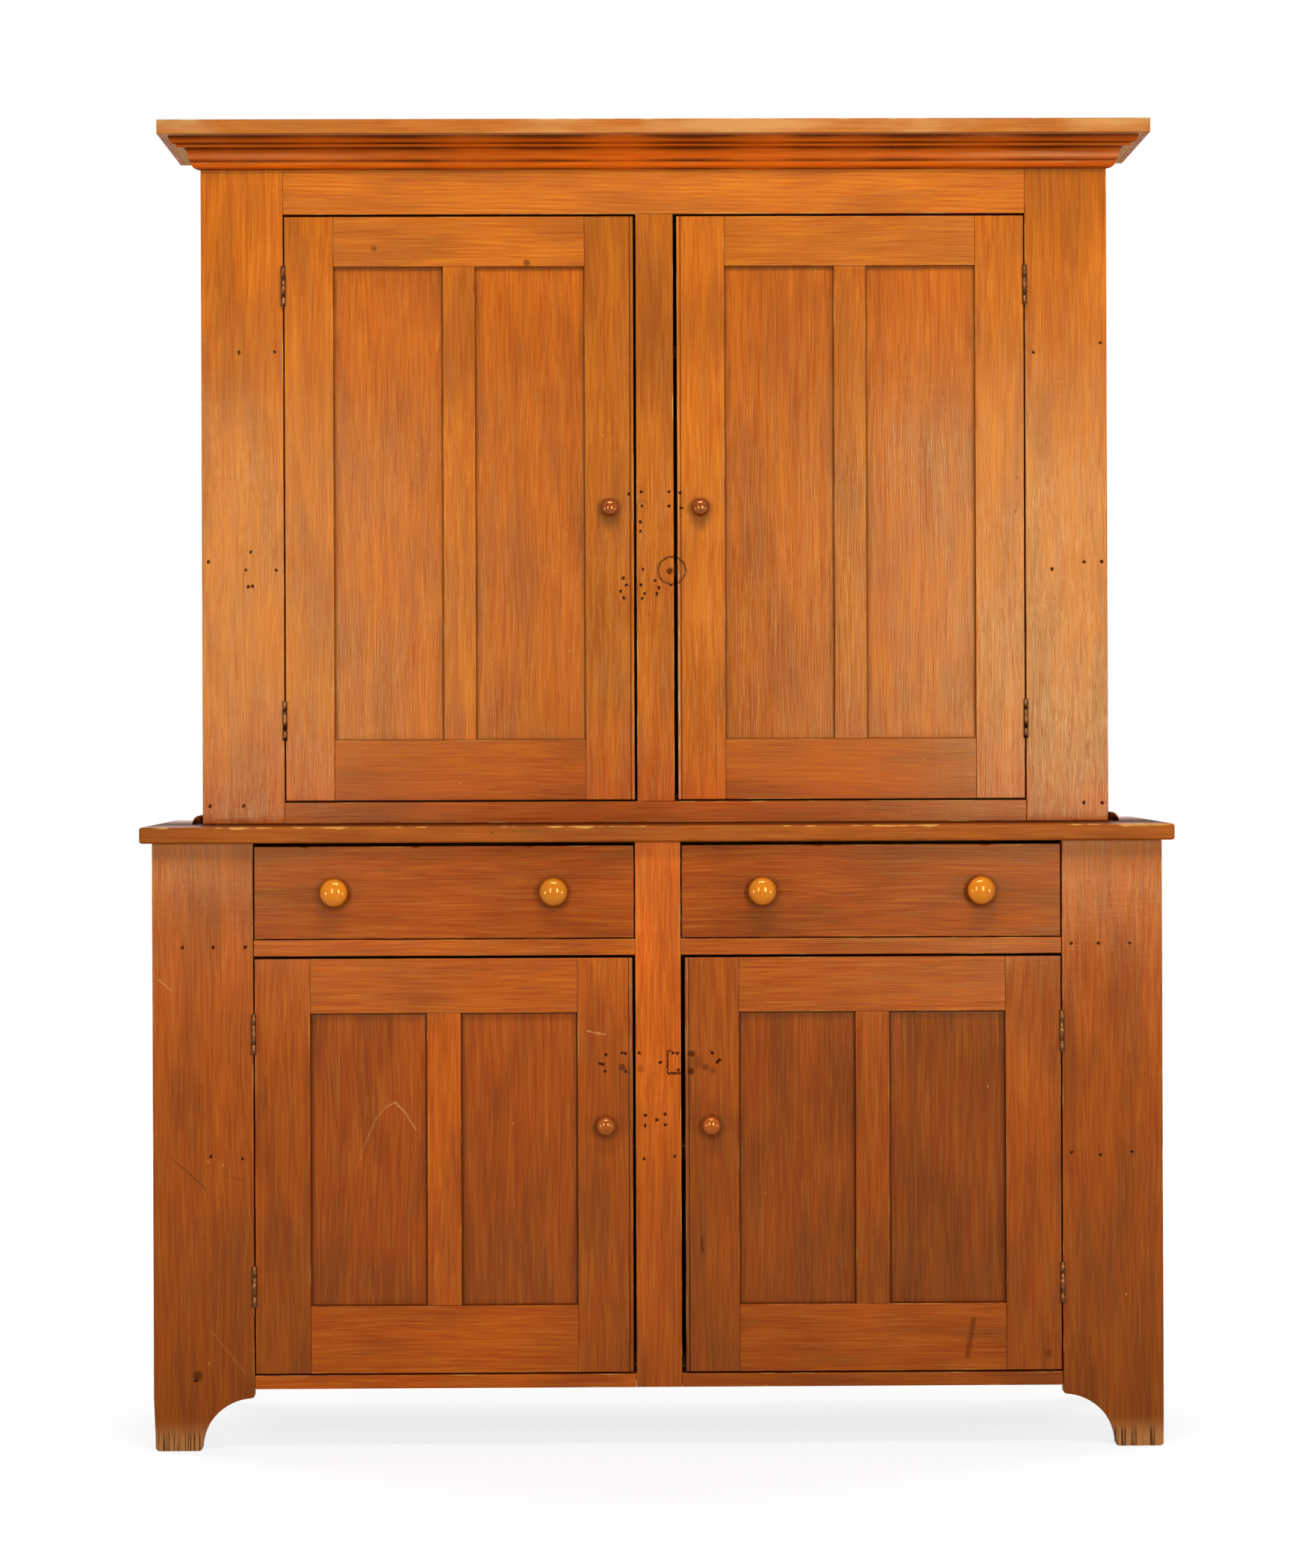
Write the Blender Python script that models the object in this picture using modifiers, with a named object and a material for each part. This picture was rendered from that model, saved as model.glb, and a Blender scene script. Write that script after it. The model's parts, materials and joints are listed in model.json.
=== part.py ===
"""Step-back cupboard: a shallow panelled upper case standing on a deeper lower case.

The lower case has two drawers over a pair of doors and stands on feet cut from its stiles.
A waist top covers it and carries the upper case, which has a pair of tall doors, a cornice
moulding and a cap board. Units are metres, +Z is up, the front faces -Y, and the origin is
on the floor in the middle of the cupboard's width and depth.
"""
import math

import bmesh
import bpy
from mathutils import Matrix, Vector

# Clearances
FIT = 0.0003                  # gap between pieces that touch
WELD = 0.00003                # points closer than this are one point
OVERCUT = 0.010               # how far a cutter runs past the face that it cuts
PANEL_ROOM = 0.002            # sideways room of a floating panel in its groove
DOOR_GAP_HINGE = 0.0015
DOOR_GAP_LOCK = 0.0035
DOOR_GAP_TOP = 0.003
DOOR_GAP_BOTTOM = 0.0025
DRAWER_GAP_SIDE = 0.0015
DRAWER_GAP_TOP = 0.005
DRAWER_GAP_BOTTOM = 0.002
DRAWER_BACK_ROOM = 0.025      # empty depth behind a closed drawer

# Stock
FRONT_STOCK = 0.022           # face frames, doors and drawer fronts
CASE_BOARD = 0.022            # case sides and bottoms
SHELF_BOARD = 0.020
BACK_BOARD = 0.012
HOUSING = 0.008               # depth of the housings that hold shelves and bottoms
RABBET = 0.010                # width of the step that holds a back
DOOR_STOP_RISE = 0.008        # how far a case bottom stands above its rail, as a door stop
STRIP_SINK = 0.003            # how far a glued-on strip is let into the board that carries it

# Lower case
LOWER_WIDTH = 1.580
LOWER_DEPTH = 0.488
LOWER_HEIGHT = 0.9495         # floor to the underside of the waist top
LOWER_STILE = 0.1575
LOWER_CENTRE_STILE = 0.071
RAIL_LIFT = 0.096             # floor to the underside of the bottom rail
LOWER_BOTTOM_RAIL = 0.021
DRAWER_RAIL = 0.0255
DRAWER_OPENING = 0.152
FOOT_RADIUS = 0.082
SIDE_FOOT = 0.055             # length of each foot at the floor on a lower side
LOWER_SHELF_HEIGHT = 0.450    # floor to the underside of the shelf

# Waist top
WAIST_THICKNESS = 0.0256
WAIST_OVERHANG_FRONT = 0.020
WAIST_OVERHANG_SIDE = 0.018
WAIST_ROUND = 0.004
CLEAT_GAP = 0.005             # from the upper case's side to the quarter-round cleat
CLEAT_WIDTH = 0.012
CLEAT_HEIGHT = 0.014

# Upper case
UPPER_SET_IN = 0.0605         # from each side of the lower case to the upper case's side
UPPER_DEPTH = 0.298
UPPER_HEIGHT = 1.1019         # waist top to the underside of the cap
UPPER_STILE = 0.132
UPPER_CENTRE_STILE = 0.060
UPPER_TOP_RAIL = 0.1212
UPPER_BOTTOM_RAIL = 0.034
UPPER_SHELF_LOW = 0.397       # waist top to the underside of each shelf
UPPER_SHELF_HIGH = 0.750

# Cornice
CAP_THICKNESS = 0.023
CAP_OVERHANG = 0.0635
CAP_ROUND = 0.0015
BEAD_HEIGHT = 0.0125
BEAD_REACH = 0.047
BEAD_RUN = 0.0095
FILLET_HEIGHT = 0.005
FILLET_REACH = 0.0355
COVE_HEIGHT = 0.0195
COVE_REACH = 0.0255
COVE_RUN = 0.0078
OVOLO_HEIGHT = 0.0125
OVOLO_REACH = 0.0148
OVOLO_RUN = 0.0133

# Doors
UPPER_DOOR_STILE = 0.079
UPPER_DOOR_MUNTIN = 0.0513
UPPER_DOOR_TOP_RAIL = 0.081
UPPER_DOOR_BOTTOM_RAIL = 0.0974
LOWER_DOOR_STILE = 0.087
LOWER_DOOR_MUNTIN = 0.0525
LOWER_DOOR_TOP_RAIL = 0.0863
LOWER_DOOR_BOTTOM_RAIL = 0.1055
LOWER_KNOB_HEIGHT = 0.506     # floor to the lower doors' knobs
PANEL_RECESS = 0.008
PANEL_EDGE = 0.006
PANEL_GROOVE = 0.009
FIELD_MARGIN = 0.004          # flat border of a panel's back, clear of the frame
FIELD_SLOPE = 0.022
FIELD_RISE = 0.004
QUIRK_INSET = 0.005           # bead along each door's lock edge, set off by a narrow groove
QUIRK_WIDTH = 0.0015
QUIRK_DEPTH = 0.002

# Hinges
HINGE_LENGTH = 0.0635
HINGE_LEAF = 0.015
HINGE_LEAF_THICKNESS = 0.0018
HINGE_BARREL = 0.0038         # radius
HINGE_PIN = 0.0019            # radius
HINGE_PIN_TIP = 0.001         # bevel at each end of the pin
HINGE_PIN_GAP = 0.00025       # running clearance of the pin
HINGE_END_KNUCKLE = 0.0165
HINGE_STAND_OFF = 0.0006      # from the face to the back of the barrel

# Drawers
DRAWER_SIDE = 0.012
DRAWER_SIDE_HEIGHT = 0.130
DRAWER_BACK_DROP = 0.006      # how far a drawer's back stops below its sides
DRAWER_BOTTOM = 0.008
DRAWER_BOTTOM_LIFT = 0.010    # lower edge of a drawer's sides to the underside of its bottom
DRAWER_GROOVE = 0.006
DOVETAIL_LAP = 0.014
DOVETAIL_COUNT = 3
DOVETAIL_TIP = 0.030
DOVETAIL_NECK = 0.022
DRAWER_KNOB_SPACING = 0.342
GUIDE_HEIGHT = 0.030
GUIDE_WIDTH = 0.024
STOP_WIDTH = 0.045
STOP_DEPTH = 0.018
STOP_HEIGHT = 0.005
STOP_SPACING = 0.300

# Knobs
DRAWER_KNOB_RADIUS = 0.022
DRAWER_KNOB_LENGTH = 0.036
DRAWER_KNOB_DOME = 0.013      # from the widest part of the head to its tip
DRAWER_KNOB_NECK = 0.0100     # radius
DRAWER_KNOB_FOOT = 0.0115     # radius
DRAWER_KNOB_TENON = 0.0065    # radius
DOOR_KNOB_RADIUS = 0.0148
DOOR_KNOB_LENGTH = 0.027
DOOR_KNOB_DOME = 0.0097
DOOR_KNOB_NECK = 0.0067
DOOR_KNOB_FOOT = 0.0077
DOOR_KNOB_TENON = 0.0048
KNOB_HEAD_TURN = -50          # angle at which the head's underside meets the neck, in degrees

# Fineness of round shapes
KNOB_STEPS = 20
BARREL_STEPS = 16
ARC_STEPS = 6
ROUND_STEPS = 3
ROUND_SECTION = 0.5           # shape of a rounded edge: a quarter circle

# Finishes: colour, roughness, metallic
UPPER_WOOD = ("B4652D", 0.40, 0.0)
LOWER_WOOD = ("A55A28", 0.38, 0.0)
PANEL_WOOD = ("B86A33", 0.42, 0.0)
CAP_WOOD = ("A85C2B", 0.42, 0.0)
INNER_WOOD = ("B08A5E", 0.65, 0.0)
GOLDEN_KNOB = ("C98A3A", 0.30, 0.0)
DARK_KNOB = ("8A3F1E", 0.25, 0.0)
AGED_STEEL = ("75664F", 0.45, 0.9)

# Places worked out from the sizes
LOWER_FACE = (DRAWER_KNOB_LENGTH - LOWER_DEPTH) / 2
BACK = LOWER_FACE + LOWER_DEPTH
UPPER_FACE = BACK - UPPER_DEPTH
LOWER_INSIDE = LOWER_FACE + FRONT_STOCK + FIT
UPPER_INSIDE = UPPER_FACE + FRONT_STOCK + FIT
LOWER_HALF = LOWER_WIDTH / 2
UPPER_WIDTH = LOWER_WIDTH - 2 * UPPER_SET_IN
UPPER_HALF = UPPER_WIDTH / 2
WAIST_HALF = LOWER_HALF + WAIST_OVERHANG_SIDE
LOWER_TOP = LOWER_HEIGHT - FIT
WAIST_TOP = LOWER_HEIGHT + WAIST_THICKNESS
UPPER_FOOT = WAIST_TOP + FIT
CAP_BOTTOM = WAIST_TOP + UPPER_HEIGHT
UPPER_TOP = CAP_BOTTOM - FIT
DRAWER_FLOOR = LOWER_HEIGHT - DRAWER_OPENING
LOWER_DOOR_SILL = RAIL_LIFT + LOWER_BOTTOM_RAIL
LOWER_DOOR_HEAD = DRAWER_FLOOR - DRAWER_RAIL
UPPER_DOOR_SILL = WAIST_TOP + UPPER_BOTTOM_RAIL
UPPER_DOOR_HEAD = CAP_BOTTOM - UPPER_TOP_RAIL
BACK_INSIDE = BACK - BACK_BOARD - FIT
MOULDING_HEIGHT = BEAD_HEIGHT + FILLET_HEIGHT + COVE_HEIGHT + OVOLO_HEIGHT
DRAWER_KNOB = (DRAWER_KNOB_RADIUS, DRAWER_KNOB_LENGTH, DRAWER_KNOB_DOME, DRAWER_KNOB_NECK,
               DRAWER_KNOB_FOOT, DRAWER_KNOB_TENON)
DOOR_KNOB = (DOOR_KNOB_RADIUS, DOOR_KNOB_LENGTH, DOOR_KNOB_DOME, DOOR_KNOB_NECK,
             DOOR_KNOB_FOOT, DOOR_KNOB_TENON)


def clear_scene():
    for item in list(bpy.data.objects):
        bpy.data.objects.remove(item, do_unlink=True)


def new_collection(name):
    collection = bpy.data.collections.new(name)
    bpy.context.scene.collection.children.link(collection)
    return collection


clear_scene()
PARTS = new_collection("step_back_cupboard")
CUTTERS = new_collection("cutters")


def linear(hex_colour):
    """Linear colour of an sRGB hex value."""
    channels = [int(hex_colour[i:i + 2], 16) / 255 for i in (0, 2, 4)]
    return [c / 12.92 if c <= 0.04045 else ((c + 0.055) / 1.055) ** 2.4 for c in channels]


def set_finish(obj, finish):
    """Give an object its own material."""
    colour, roughness, metallic = finish
    material = bpy.data.materials.new(obj.name + "_finish")
    material.use_nodes = True
    shader = material.node_tree.nodes["Principled BSDF"]
    shader.inputs["Base Color"].default_value = (*linear(colour), 1.0)
    shader.inputs["Roughness"].default_value = roughness
    shader.inputs["Metallic"].default_value = metallic
    obj.data.materials.append(material)


def place(obj, collection, location, parent=None):
    """Put an object into a collection at a world position, under its parent empty."""
    collection.objects.link(obj)
    if parent is not None:
        obj.parent = parent
        location = Vector(location) - parent.location
    obj.location = location


def joint_empty(name, location):
    """Empty on a joint's axis that carries one moving body."""
    empty = bpy.data.objects.new(name, None)
    empty.empty_display_size = CASE_BOARD
    place(empty, PARTS, location)
    return empty


def spans(x, y, z):
    """Low and high corner of a box given by three pairs in any order."""
    return [Vector(pick(pair) for pair in (x, y, z)) for pick in (min, max)]


def boxes_mesh(name, boxes, centre):
    """Mesh of closed boxes, measured from a centre."""
    mesh = bpy.data.meshes.new(name)
    form = bmesh.new()
    for x, y, z in boxes:
        low, high = spans(x, y, z)
        shift = Matrix.Translation((low + high) / 2 - centre)
        bmesh.ops.create_cube(form, size=1.0, matrix=shift @ Matrix.Diagonal((*(high - low), 1.0)))
    form.to_mesh(mesh)
    form.free()
    return mesh


def board(name, x, y, z, finish, parent=None):
    """Plain board between three pairs of planes, its origin at its middle."""
    low, high = spans(x, y, z)
    centre = (low + high) / 2
    obj = bpy.data.objects.new(name, boxes_mesh(name, [(x, y, z)], centre))
    place(obj, PARTS, centre, parent)
    set_finish(obj, finish)
    return obj


def as_cutter(obj):
    obj.hide_render = True
    obj.display_type = "WIRE"
    return obj


def box_cutter(name, boxes):
    """Cutter made of boxes that don't overlap each other."""
    obj = bpy.data.objects.new(name, boxes_mesh(name, boxes, Vector()))
    place(obj, CUTTERS, Vector())
    return as_cutter(obj)


def round_cutter(name, radius, length, matrix):
    """Cylinder cutter whose axis is its own Z axis."""
    mesh = bpy.data.meshes.new(name)
    form = bmesh.new()
    bmesh.ops.create_cone(form, cap_ends=True, segments=KNOB_STEPS, radius1=radius, radius2=radius,
                          depth=length)
    form.to_mesh(mesh)
    form.free()
    obj = bpy.data.objects.new(name, mesh)
    CUTTERS.objects.link(obj)
    obj.matrix_world = matrix
    return as_cutter(obj)


def combine(target, other, operation):
    """Boolean of one object with another."""
    step = target.modifiers.new(other.name, "BOOLEAN")
    step.operation = operation
    step.object = other


def cut(target, *boxes):
    """Cut boxes out of an object."""
    number = len(target.modifiers) + 1
    combine(target, box_cutter(f"{target.name}_cut_{number}", boxes), "DIFFERENCE")


def fuse(target, *boxes):
    """Glue boxes to an object."""
    number = len(target.modifiers) + 1
    combine(target, box_cutter(f"{target.name}_add_{number}", boxes), "UNION")


AXIS_TURN = {
    "X": Matrix(((0, 0, 1, 0), (1, 0, 0, 0), (0, 1, 0, 0), (0, 0, 0, 1))),
    "Y": Matrix(((1, 0, 0, 0), (0, 0, -1, 0), (0, 1, 0, 0), (0, 0, 0, 1))),
    "Z": Matrix.Identity(4),
}


def prism(name, outline, axis, span):
    """Solid with an outline in the plane across an axis, between two places along that axis.

    The outline holds (y, z) points across X, (x, z) points across Y and (x, y) points across Z.
    """
    curve = bpy.data.curves.new(name, "CURVE")
    curve.dimensions = "2D"
    curve.fill_mode = "BOTH"
    curve.extrude = abs(span[1] - span[0]) / 2
    spline = curve.splines.new("POLY")
    spline.points.add(len(outline) - 1)
    for point, (across, up) in zip(spline.points, outline):
        point.co = (across, up, 0.0, 1.0)
    spline.use_cyclic_u = True
    drawn = bpy.data.objects.new(name + "_outline", curve)
    bpy.context.scene.collection.objects.link(drawn)
    middle = Vector()
    middle["XYZ".index(axis)] = sum(span) / 2
    drawn.matrix_world = Matrix.Translation(middle) @ AXIS_TURN[axis]
    bpy.context.view_layer.update()
    evaluated = drawn.evaluated_get(bpy.context.evaluated_depsgraph_get())
    mesh = bpy.data.meshes.new_from_object(evaluated)
    form = bmesh.new()
    form.from_mesh(mesh)
    bmesh.ops.remove_doubles(form, verts=form.verts, dist=WELD)
    bmesh.ops.recalc_face_normals(form, faces=form.faces)
    form.to_mesh(mesh)
    form.free()
    obj = bpy.data.objects.new(name, mesh)
    obj.matrix_world = drawn.matrix_world.copy()
    bpy.data.objects.remove(drawn, do_unlink=True)
    return obj


def prism_cutter(name, outline, axis, span):
    obj = prism(name, outline, axis, span)
    CUTTERS.objects.link(obj)
    return as_cutter(obj)


def prism_part(name, outline, axis, span, finish, parent=None):
    obj = prism(name, outline, axis, span)
    PARTS.objects.link(obj)
    if parent is not None:
        obj.parent = parent
        obj.location = obj.location - parent.location
    set_finish(obj, finish)
    return obj


def arc(centre, radii, start, end):
    """Points on an ellipse's arc between two angles in degrees."""
    turns = [math.radians(start + (end - start) * i / ARC_STEPS) for i in range(ARC_STEPS + 1)]
    return [(centre[0] + radii[0] * math.cos(t), centre[1] + radii[1] * math.sin(t)) for t in turns]


def foot_gap(low, high):
    """Outline of the gap between two feet: a quarter circle on each foot, then up to the rail."""
    radii = (FOOT_RADIUS, FOOT_RADIUS)
    left = arc((low + FOOT_RADIUS, 0.0), radii, 180, 90)
    right = arc((high - FOOT_RADIUS, 0.0), radii, 90, 0)
    rail = [(low + FOOT_RADIUS, RAIL_LIFT), (high - FOOT_RADIUS, RAIL_LIFT)]
    return [(low, -OVERCUT), *left, *rail, *right, (high, -OVERCUT)]


def turned(name, profile, finish, steps, location, rotation, parent=None):
    """Turned piece from (radius, height) points that run from its top to its bottom."""
    mesh = bpy.data.meshes.new(name)
    points = [(radius, 0.0, height) for radius, height in profile]
    mesh.from_pydata(points, [(i, i + 1) for i in range(len(points) - 1)], [])
    obj = bpy.data.objects.new(name, mesh)
    place(obj, PARTS, location, parent)
    obj.rotation_euler = rotation
    screw = obj.modifiers.new("turning", "SCREW")
    screw.steps = steps
    screw.render_steps = steps
    screw.use_merge_vertices = True
    screw.merge_threshold = WELD
    screw.use_smooth_shade = True
    set_finish(obj, finish)
    return obj


# Lower case

def lower_case():
    """The lower case's boards. Returns its face frame."""
    inner = LOWER_HALF - CASE_BOARD
    bottom_top = LOWER_DOOR_SILL + DOOR_STOP_RISE
    bottom = (bottom_top - CASE_BOARD, bottom_top)
    shelf = (LOWER_SHELF_HEIGHT, LOWER_SHELF_HEIGHT + SHELF_BOARD)
    drawer_board = (DRAWER_FLOOR - SHELF_BOARD, DRAWER_FLOOR)
    for name, sign in (("left", -1), ("right", 1)):
        side = case_side(f"lower_side_{name}", sign, LOWER_HALF, LOWER_INSIDE, (0.0, LOWER_TOP),
                         LOWER_WOOD, (bottom, shelf, drawer_board))
        gap = prism_cutter(f"lower_side_{name}_foot_gap",
                           foot_gap(LOWER_INSIDE + SIDE_FOOT, BACK - SIDE_FOOT), "X",
                           (sign * (inner - OVERCUT), sign * (LOWER_HALF + OVERCUT)))
        combine(side, gap, "DIFFERENCE")
    reach = inner + HOUSING - FIT
    depth = (LOWER_INSIDE, BACK_INSIDE)
    board("lower_bottom", (-reach, reach), depth, bottom, INNER_WOOD)
    board("lower_shelf", (-reach, reach), depth, shelf, INNER_WOOD)
    back_reach = inner + RABBET - FIT
    board("lower_back", (-back_reach, back_reach), (BACK - BACK_BOARD, BACK), (bottom[0], LOWER_TOP),
          INNER_WOOD)
    drawer_carrier(reach, depth, drawer_board)
    return lower_face_frame()


def case_side(name, sign, half, inside, height, finish, levels):
    """Side board with housings for the boards that it carries and a step for the back."""
    inner = half - CASE_BOARD
    side = board(name, (sign * inner, sign * half), (inside, BACK), height, finish)
    housing = (sign * (inner - OVERCUT), sign * (inner + HOUSING))
    through = (inside - OVERCUT, BACK_INSIDE)
    cut(side, *[(housing, through, (low - FIT, high + FIT)) for low, high in levels])
    rabbet = (sign * (inner - OVERCUT), sign * (inner + RABBET))
    cut(side, (rabbet, (BACK_INSIDE, BACK + OVERCUT), (height[0] - OVERCUT, height[1] + OVERCUT)))
    return side


def lower_face_frame():
    frame = board("lower_face_frame", (-LOWER_HALF, LOWER_HALF), (LOWER_FACE, LOWER_FACE + FRONT_STOCK),
                  (0.0, LOWER_TOP), LOWER_WOOD)
    through = (LOWER_FACE - OVERCUT, LOWER_FACE + FRONT_STOCK + OVERCUT)
    near = LOWER_CENTRE_STILE / 2
    far = LOWER_HALF - LOWER_STILE
    doors = (LOWER_DOOR_SILL, LOWER_DOOR_HEAD)
    drawers = (DRAWER_FLOOR, LOWER_HEIGHT + OVERCUT)
    cut(frame, *[((sign * near, sign * far), through, level)
                 for sign in (-1, 1) for level in (doors, drawers)])
    gap = prism_cutter("lower_face_frame_foot_gap", foot_gap(-far - FOOT_RADIUS, far + FOOT_RADIUS),
                       "Y", through)
    combine(frame, gap, "DIFFERENCE")
    return frame


def drawer_carrier(reach, depth, level):
    """Board that the drawers run on, with guides beside them and stops behind their fronts."""
    carrier = board("drawer_board", (-reach, reach), depth, level, INNER_WOOD)
    near = LOWER_CENTRE_STILE / 2
    far = LOWER_HALF - LOWER_STILE
    seat = level[1] - STRIP_SINK
    tall = (seat, level[1] + GUIDE_HEIGHT)
    long = (depth[0] + FIT, depth[1] - FIT)
    guides = [((-near, near), long, tall)]
    guides += [((sign * far, sign * (far + GUIDE_WIDTH)), long, tall) for sign in (-1, 1)]
    middle = (near + far) / 2
    stop_depth = (LOWER_INSIDE, LOWER_INSIDE + STOP_DEPTH)
    stops = []
    for sign in (-1, 1):
        for offset in (-STOP_SPACING / 2, STOP_SPACING / 2):
            place_x = sign * middle + offset
            stops.append(((place_x - STOP_WIDTH / 2, place_x + STOP_WIDTH / 2), stop_depth,
                          (seat, level[1] + STOP_HEIGHT)))
    fuse(carrier, *guides)
    fuse(carrier, *stops)
    return carrier


# Waist top

def waist_top():
    """Board over the lower case with rounded front and ends, and the cleats that hold the upper case."""
    low, high = spans((-WAIST_HALF, WAIST_HALF), (LOWER_FACE - WAIST_OVERHANG_FRONT, BACK),
                      (LOWER_HEIGHT, WAIST_TOP))
    centre = (low + high) / 2
    top = board("waist_top", (low.x, high.x), (low.y, high.y), (low.z, high.z), LOWER_WOOD)
    round_edges(top, WAIST_ROUND, low.y - centre.y)
    for name, sign in (("left", -1), ("right", 1)):
        inner = UPPER_HALF + CLEAT_GAP
        seat = WAIST_TOP - STRIP_SINK
        bow = arc((inner, WAIST_TOP), (CLEAT_WIDTH, CLEAT_HEIGHT), 0, 90)
        outline = [(sign * x, z) for x, z in [(inner, seat), (inner + CLEAT_WIDTH, seat), *bow]]
        cleat = prism_cutter(f"waist_top_cleat_{name}", outline, "Y", (UPPER_FACE, BACK - CLEAT_WIDTH))
        combine(top, cleat, "UNION")
    return top


def round_edges(obj, radius, front):
    """Round every edge of a board except those of its back face."""
    form = bmesh.new()
    form.from_mesh(obj.data)
    edges = [edge for edge in form.edges
             if min(vert.co.y for vert in edge.verts) < front + FIT]
    bmesh.ops.bevel(form, geom=edges, offset=radius, segments=ROUND_STEPS, profile=ROUND_SECTION,
                    affect="EDGES")
    form.to_mesh(obj.data)
    form.free()


# Upper case

def upper_case():
    """The upper case's boards. Returns its face frame."""
    inner = UPPER_HALF - CASE_BOARD
    bottom_top = UPPER_DOOR_SILL + DOOR_STOP_RISE
    bottom = (bottom_top - CASE_BOARD, bottom_top)
    low_shelf = (WAIST_TOP + UPPER_SHELF_LOW, WAIST_TOP + UPPER_SHELF_LOW + SHELF_BOARD)
    high_shelf = (WAIST_TOP + UPPER_SHELF_HIGH, WAIST_TOP + UPPER_SHELF_HIGH + SHELF_BOARD)
    height = (UPPER_FOOT, UPPER_TOP)
    for name, sign in (("left", -1), ("right", 1)):
        case_side(f"upper_side_{name}", sign, UPPER_HALF, UPPER_INSIDE, height, UPPER_WOOD,
                  (bottom, low_shelf, high_shelf))
    reach = inner + HOUSING - FIT
    depth = (UPPER_INSIDE, BACK_INSIDE)
    board("upper_bottom", (-reach, reach), depth, bottom, INNER_WOOD)
    board("upper_shelf_low", (-reach, reach), depth, low_shelf, INNER_WOOD)
    board("upper_shelf_high", (-reach, reach), depth, high_shelf, INNER_WOOD)
    back_reach = inner + RABBET - FIT
    board("upper_back", (-back_reach, back_reach), (BACK - BACK_BOARD, BACK), height, INNER_WOOD)
    frame = board("upper_face_frame", (-UPPER_HALF, UPPER_HALF), (UPPER_FACE, UPPER_FACE + FRONT_STOCK),
                  height, UPPER_WOOD)
    through = (UPPER_FACE - OVERCUT, UPPER_FACE + FRONT_STOCK + OVERCUT)
    near = UPPER_CENTRE_STILE / 2
    far = UPPER_HALF - UPPER_STILE
    cut(frame, *[((sign * near, sign * far), through, (UPPER_DOOR_SILL, UPPER_DOOR_HEAD))
                 for sign in (-1, 1)])
    return frame


# Cornice

def cornice_cap():
    reach = UPPER_HALF + CAP_OVERHANG
    depth = (UPPER_FACE - CAP_OVERHANG, BACK)
    cap = board("cornice_cap", (-reach, reach), depth, (CAP_BOTTOM, CAP_BOTTOM + CAP_THICKNESS), CAP_WOOD)
    round_edges(cap, CAP_ROUND, (depth[0] - depth[1]) / 2)
    return cap


def cornice_profile():
    """Outline of the moulding as (reach from the face, drop from the cap) points, top to bottom."""
    fillet = BEAD_HEIGHT
    cove = fillet + FILLET_HEIGHT
    ovolo = cove + COVE_HEIGHT
    bead = arc((BEAD_REACH - BEAD_RUN, 0.0), (BEAD_RUN, BEAD_HEIGHT), 0, 90)
    hollow = arc((COVE_REACH, ovolo), (-COVE_RUN, -COVE_HEIGHT), 90, 0)
    swell = arc((OVOLO_REACH - OVOLO_RUN, ovolo), (OVOLO_RUN, OVOLO_HEIGHT), 0, 90)
    steps = [(FILLET_REACH, fillet), (FILLET_REACH, cove)]
    return [(FIT, 0.0), *bead, *steps, *hollow, *swell, (FIT, MOULDING_HEIGHT)]


def cornice_moulding():
    """Front moulding under the cap, its ends cut at the mitre."""
    outline = [(UPPER_FACE - reach, UPPER_TOP - drop) for reach, drop in cornice_profile()]
    end = UPPER_HALF + BEAD_REACH
    moulding = prism_part("cornice_moulding", outline, "X", (-end, end), UPPER_WOOD)
    for name, sign in (("left", -1), ("right", 1)):
        far = BEAD_REACH + OVERCUT
        corner = [(UPPER_HALF - OVERCUT, UPPER_FACE + OVERCUT), (UPPER_HALF + far, UPPER_FACE - far),
                  (UPPER_HALF + far, UPPER_FACE + OVERCUT)]
        mitre = prism_cutter(f"cornice_mitre_{name}", [(sign * x, y) for x, y in corner], "Z",
                             (UPPER_TOP - MOULDING_HEIGHT - OVERCUT, UPPER_TOP + OVERCUT))
        combine(moulding, mitre, "DIFFERENCE")
    return moulding


# Doors

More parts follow.
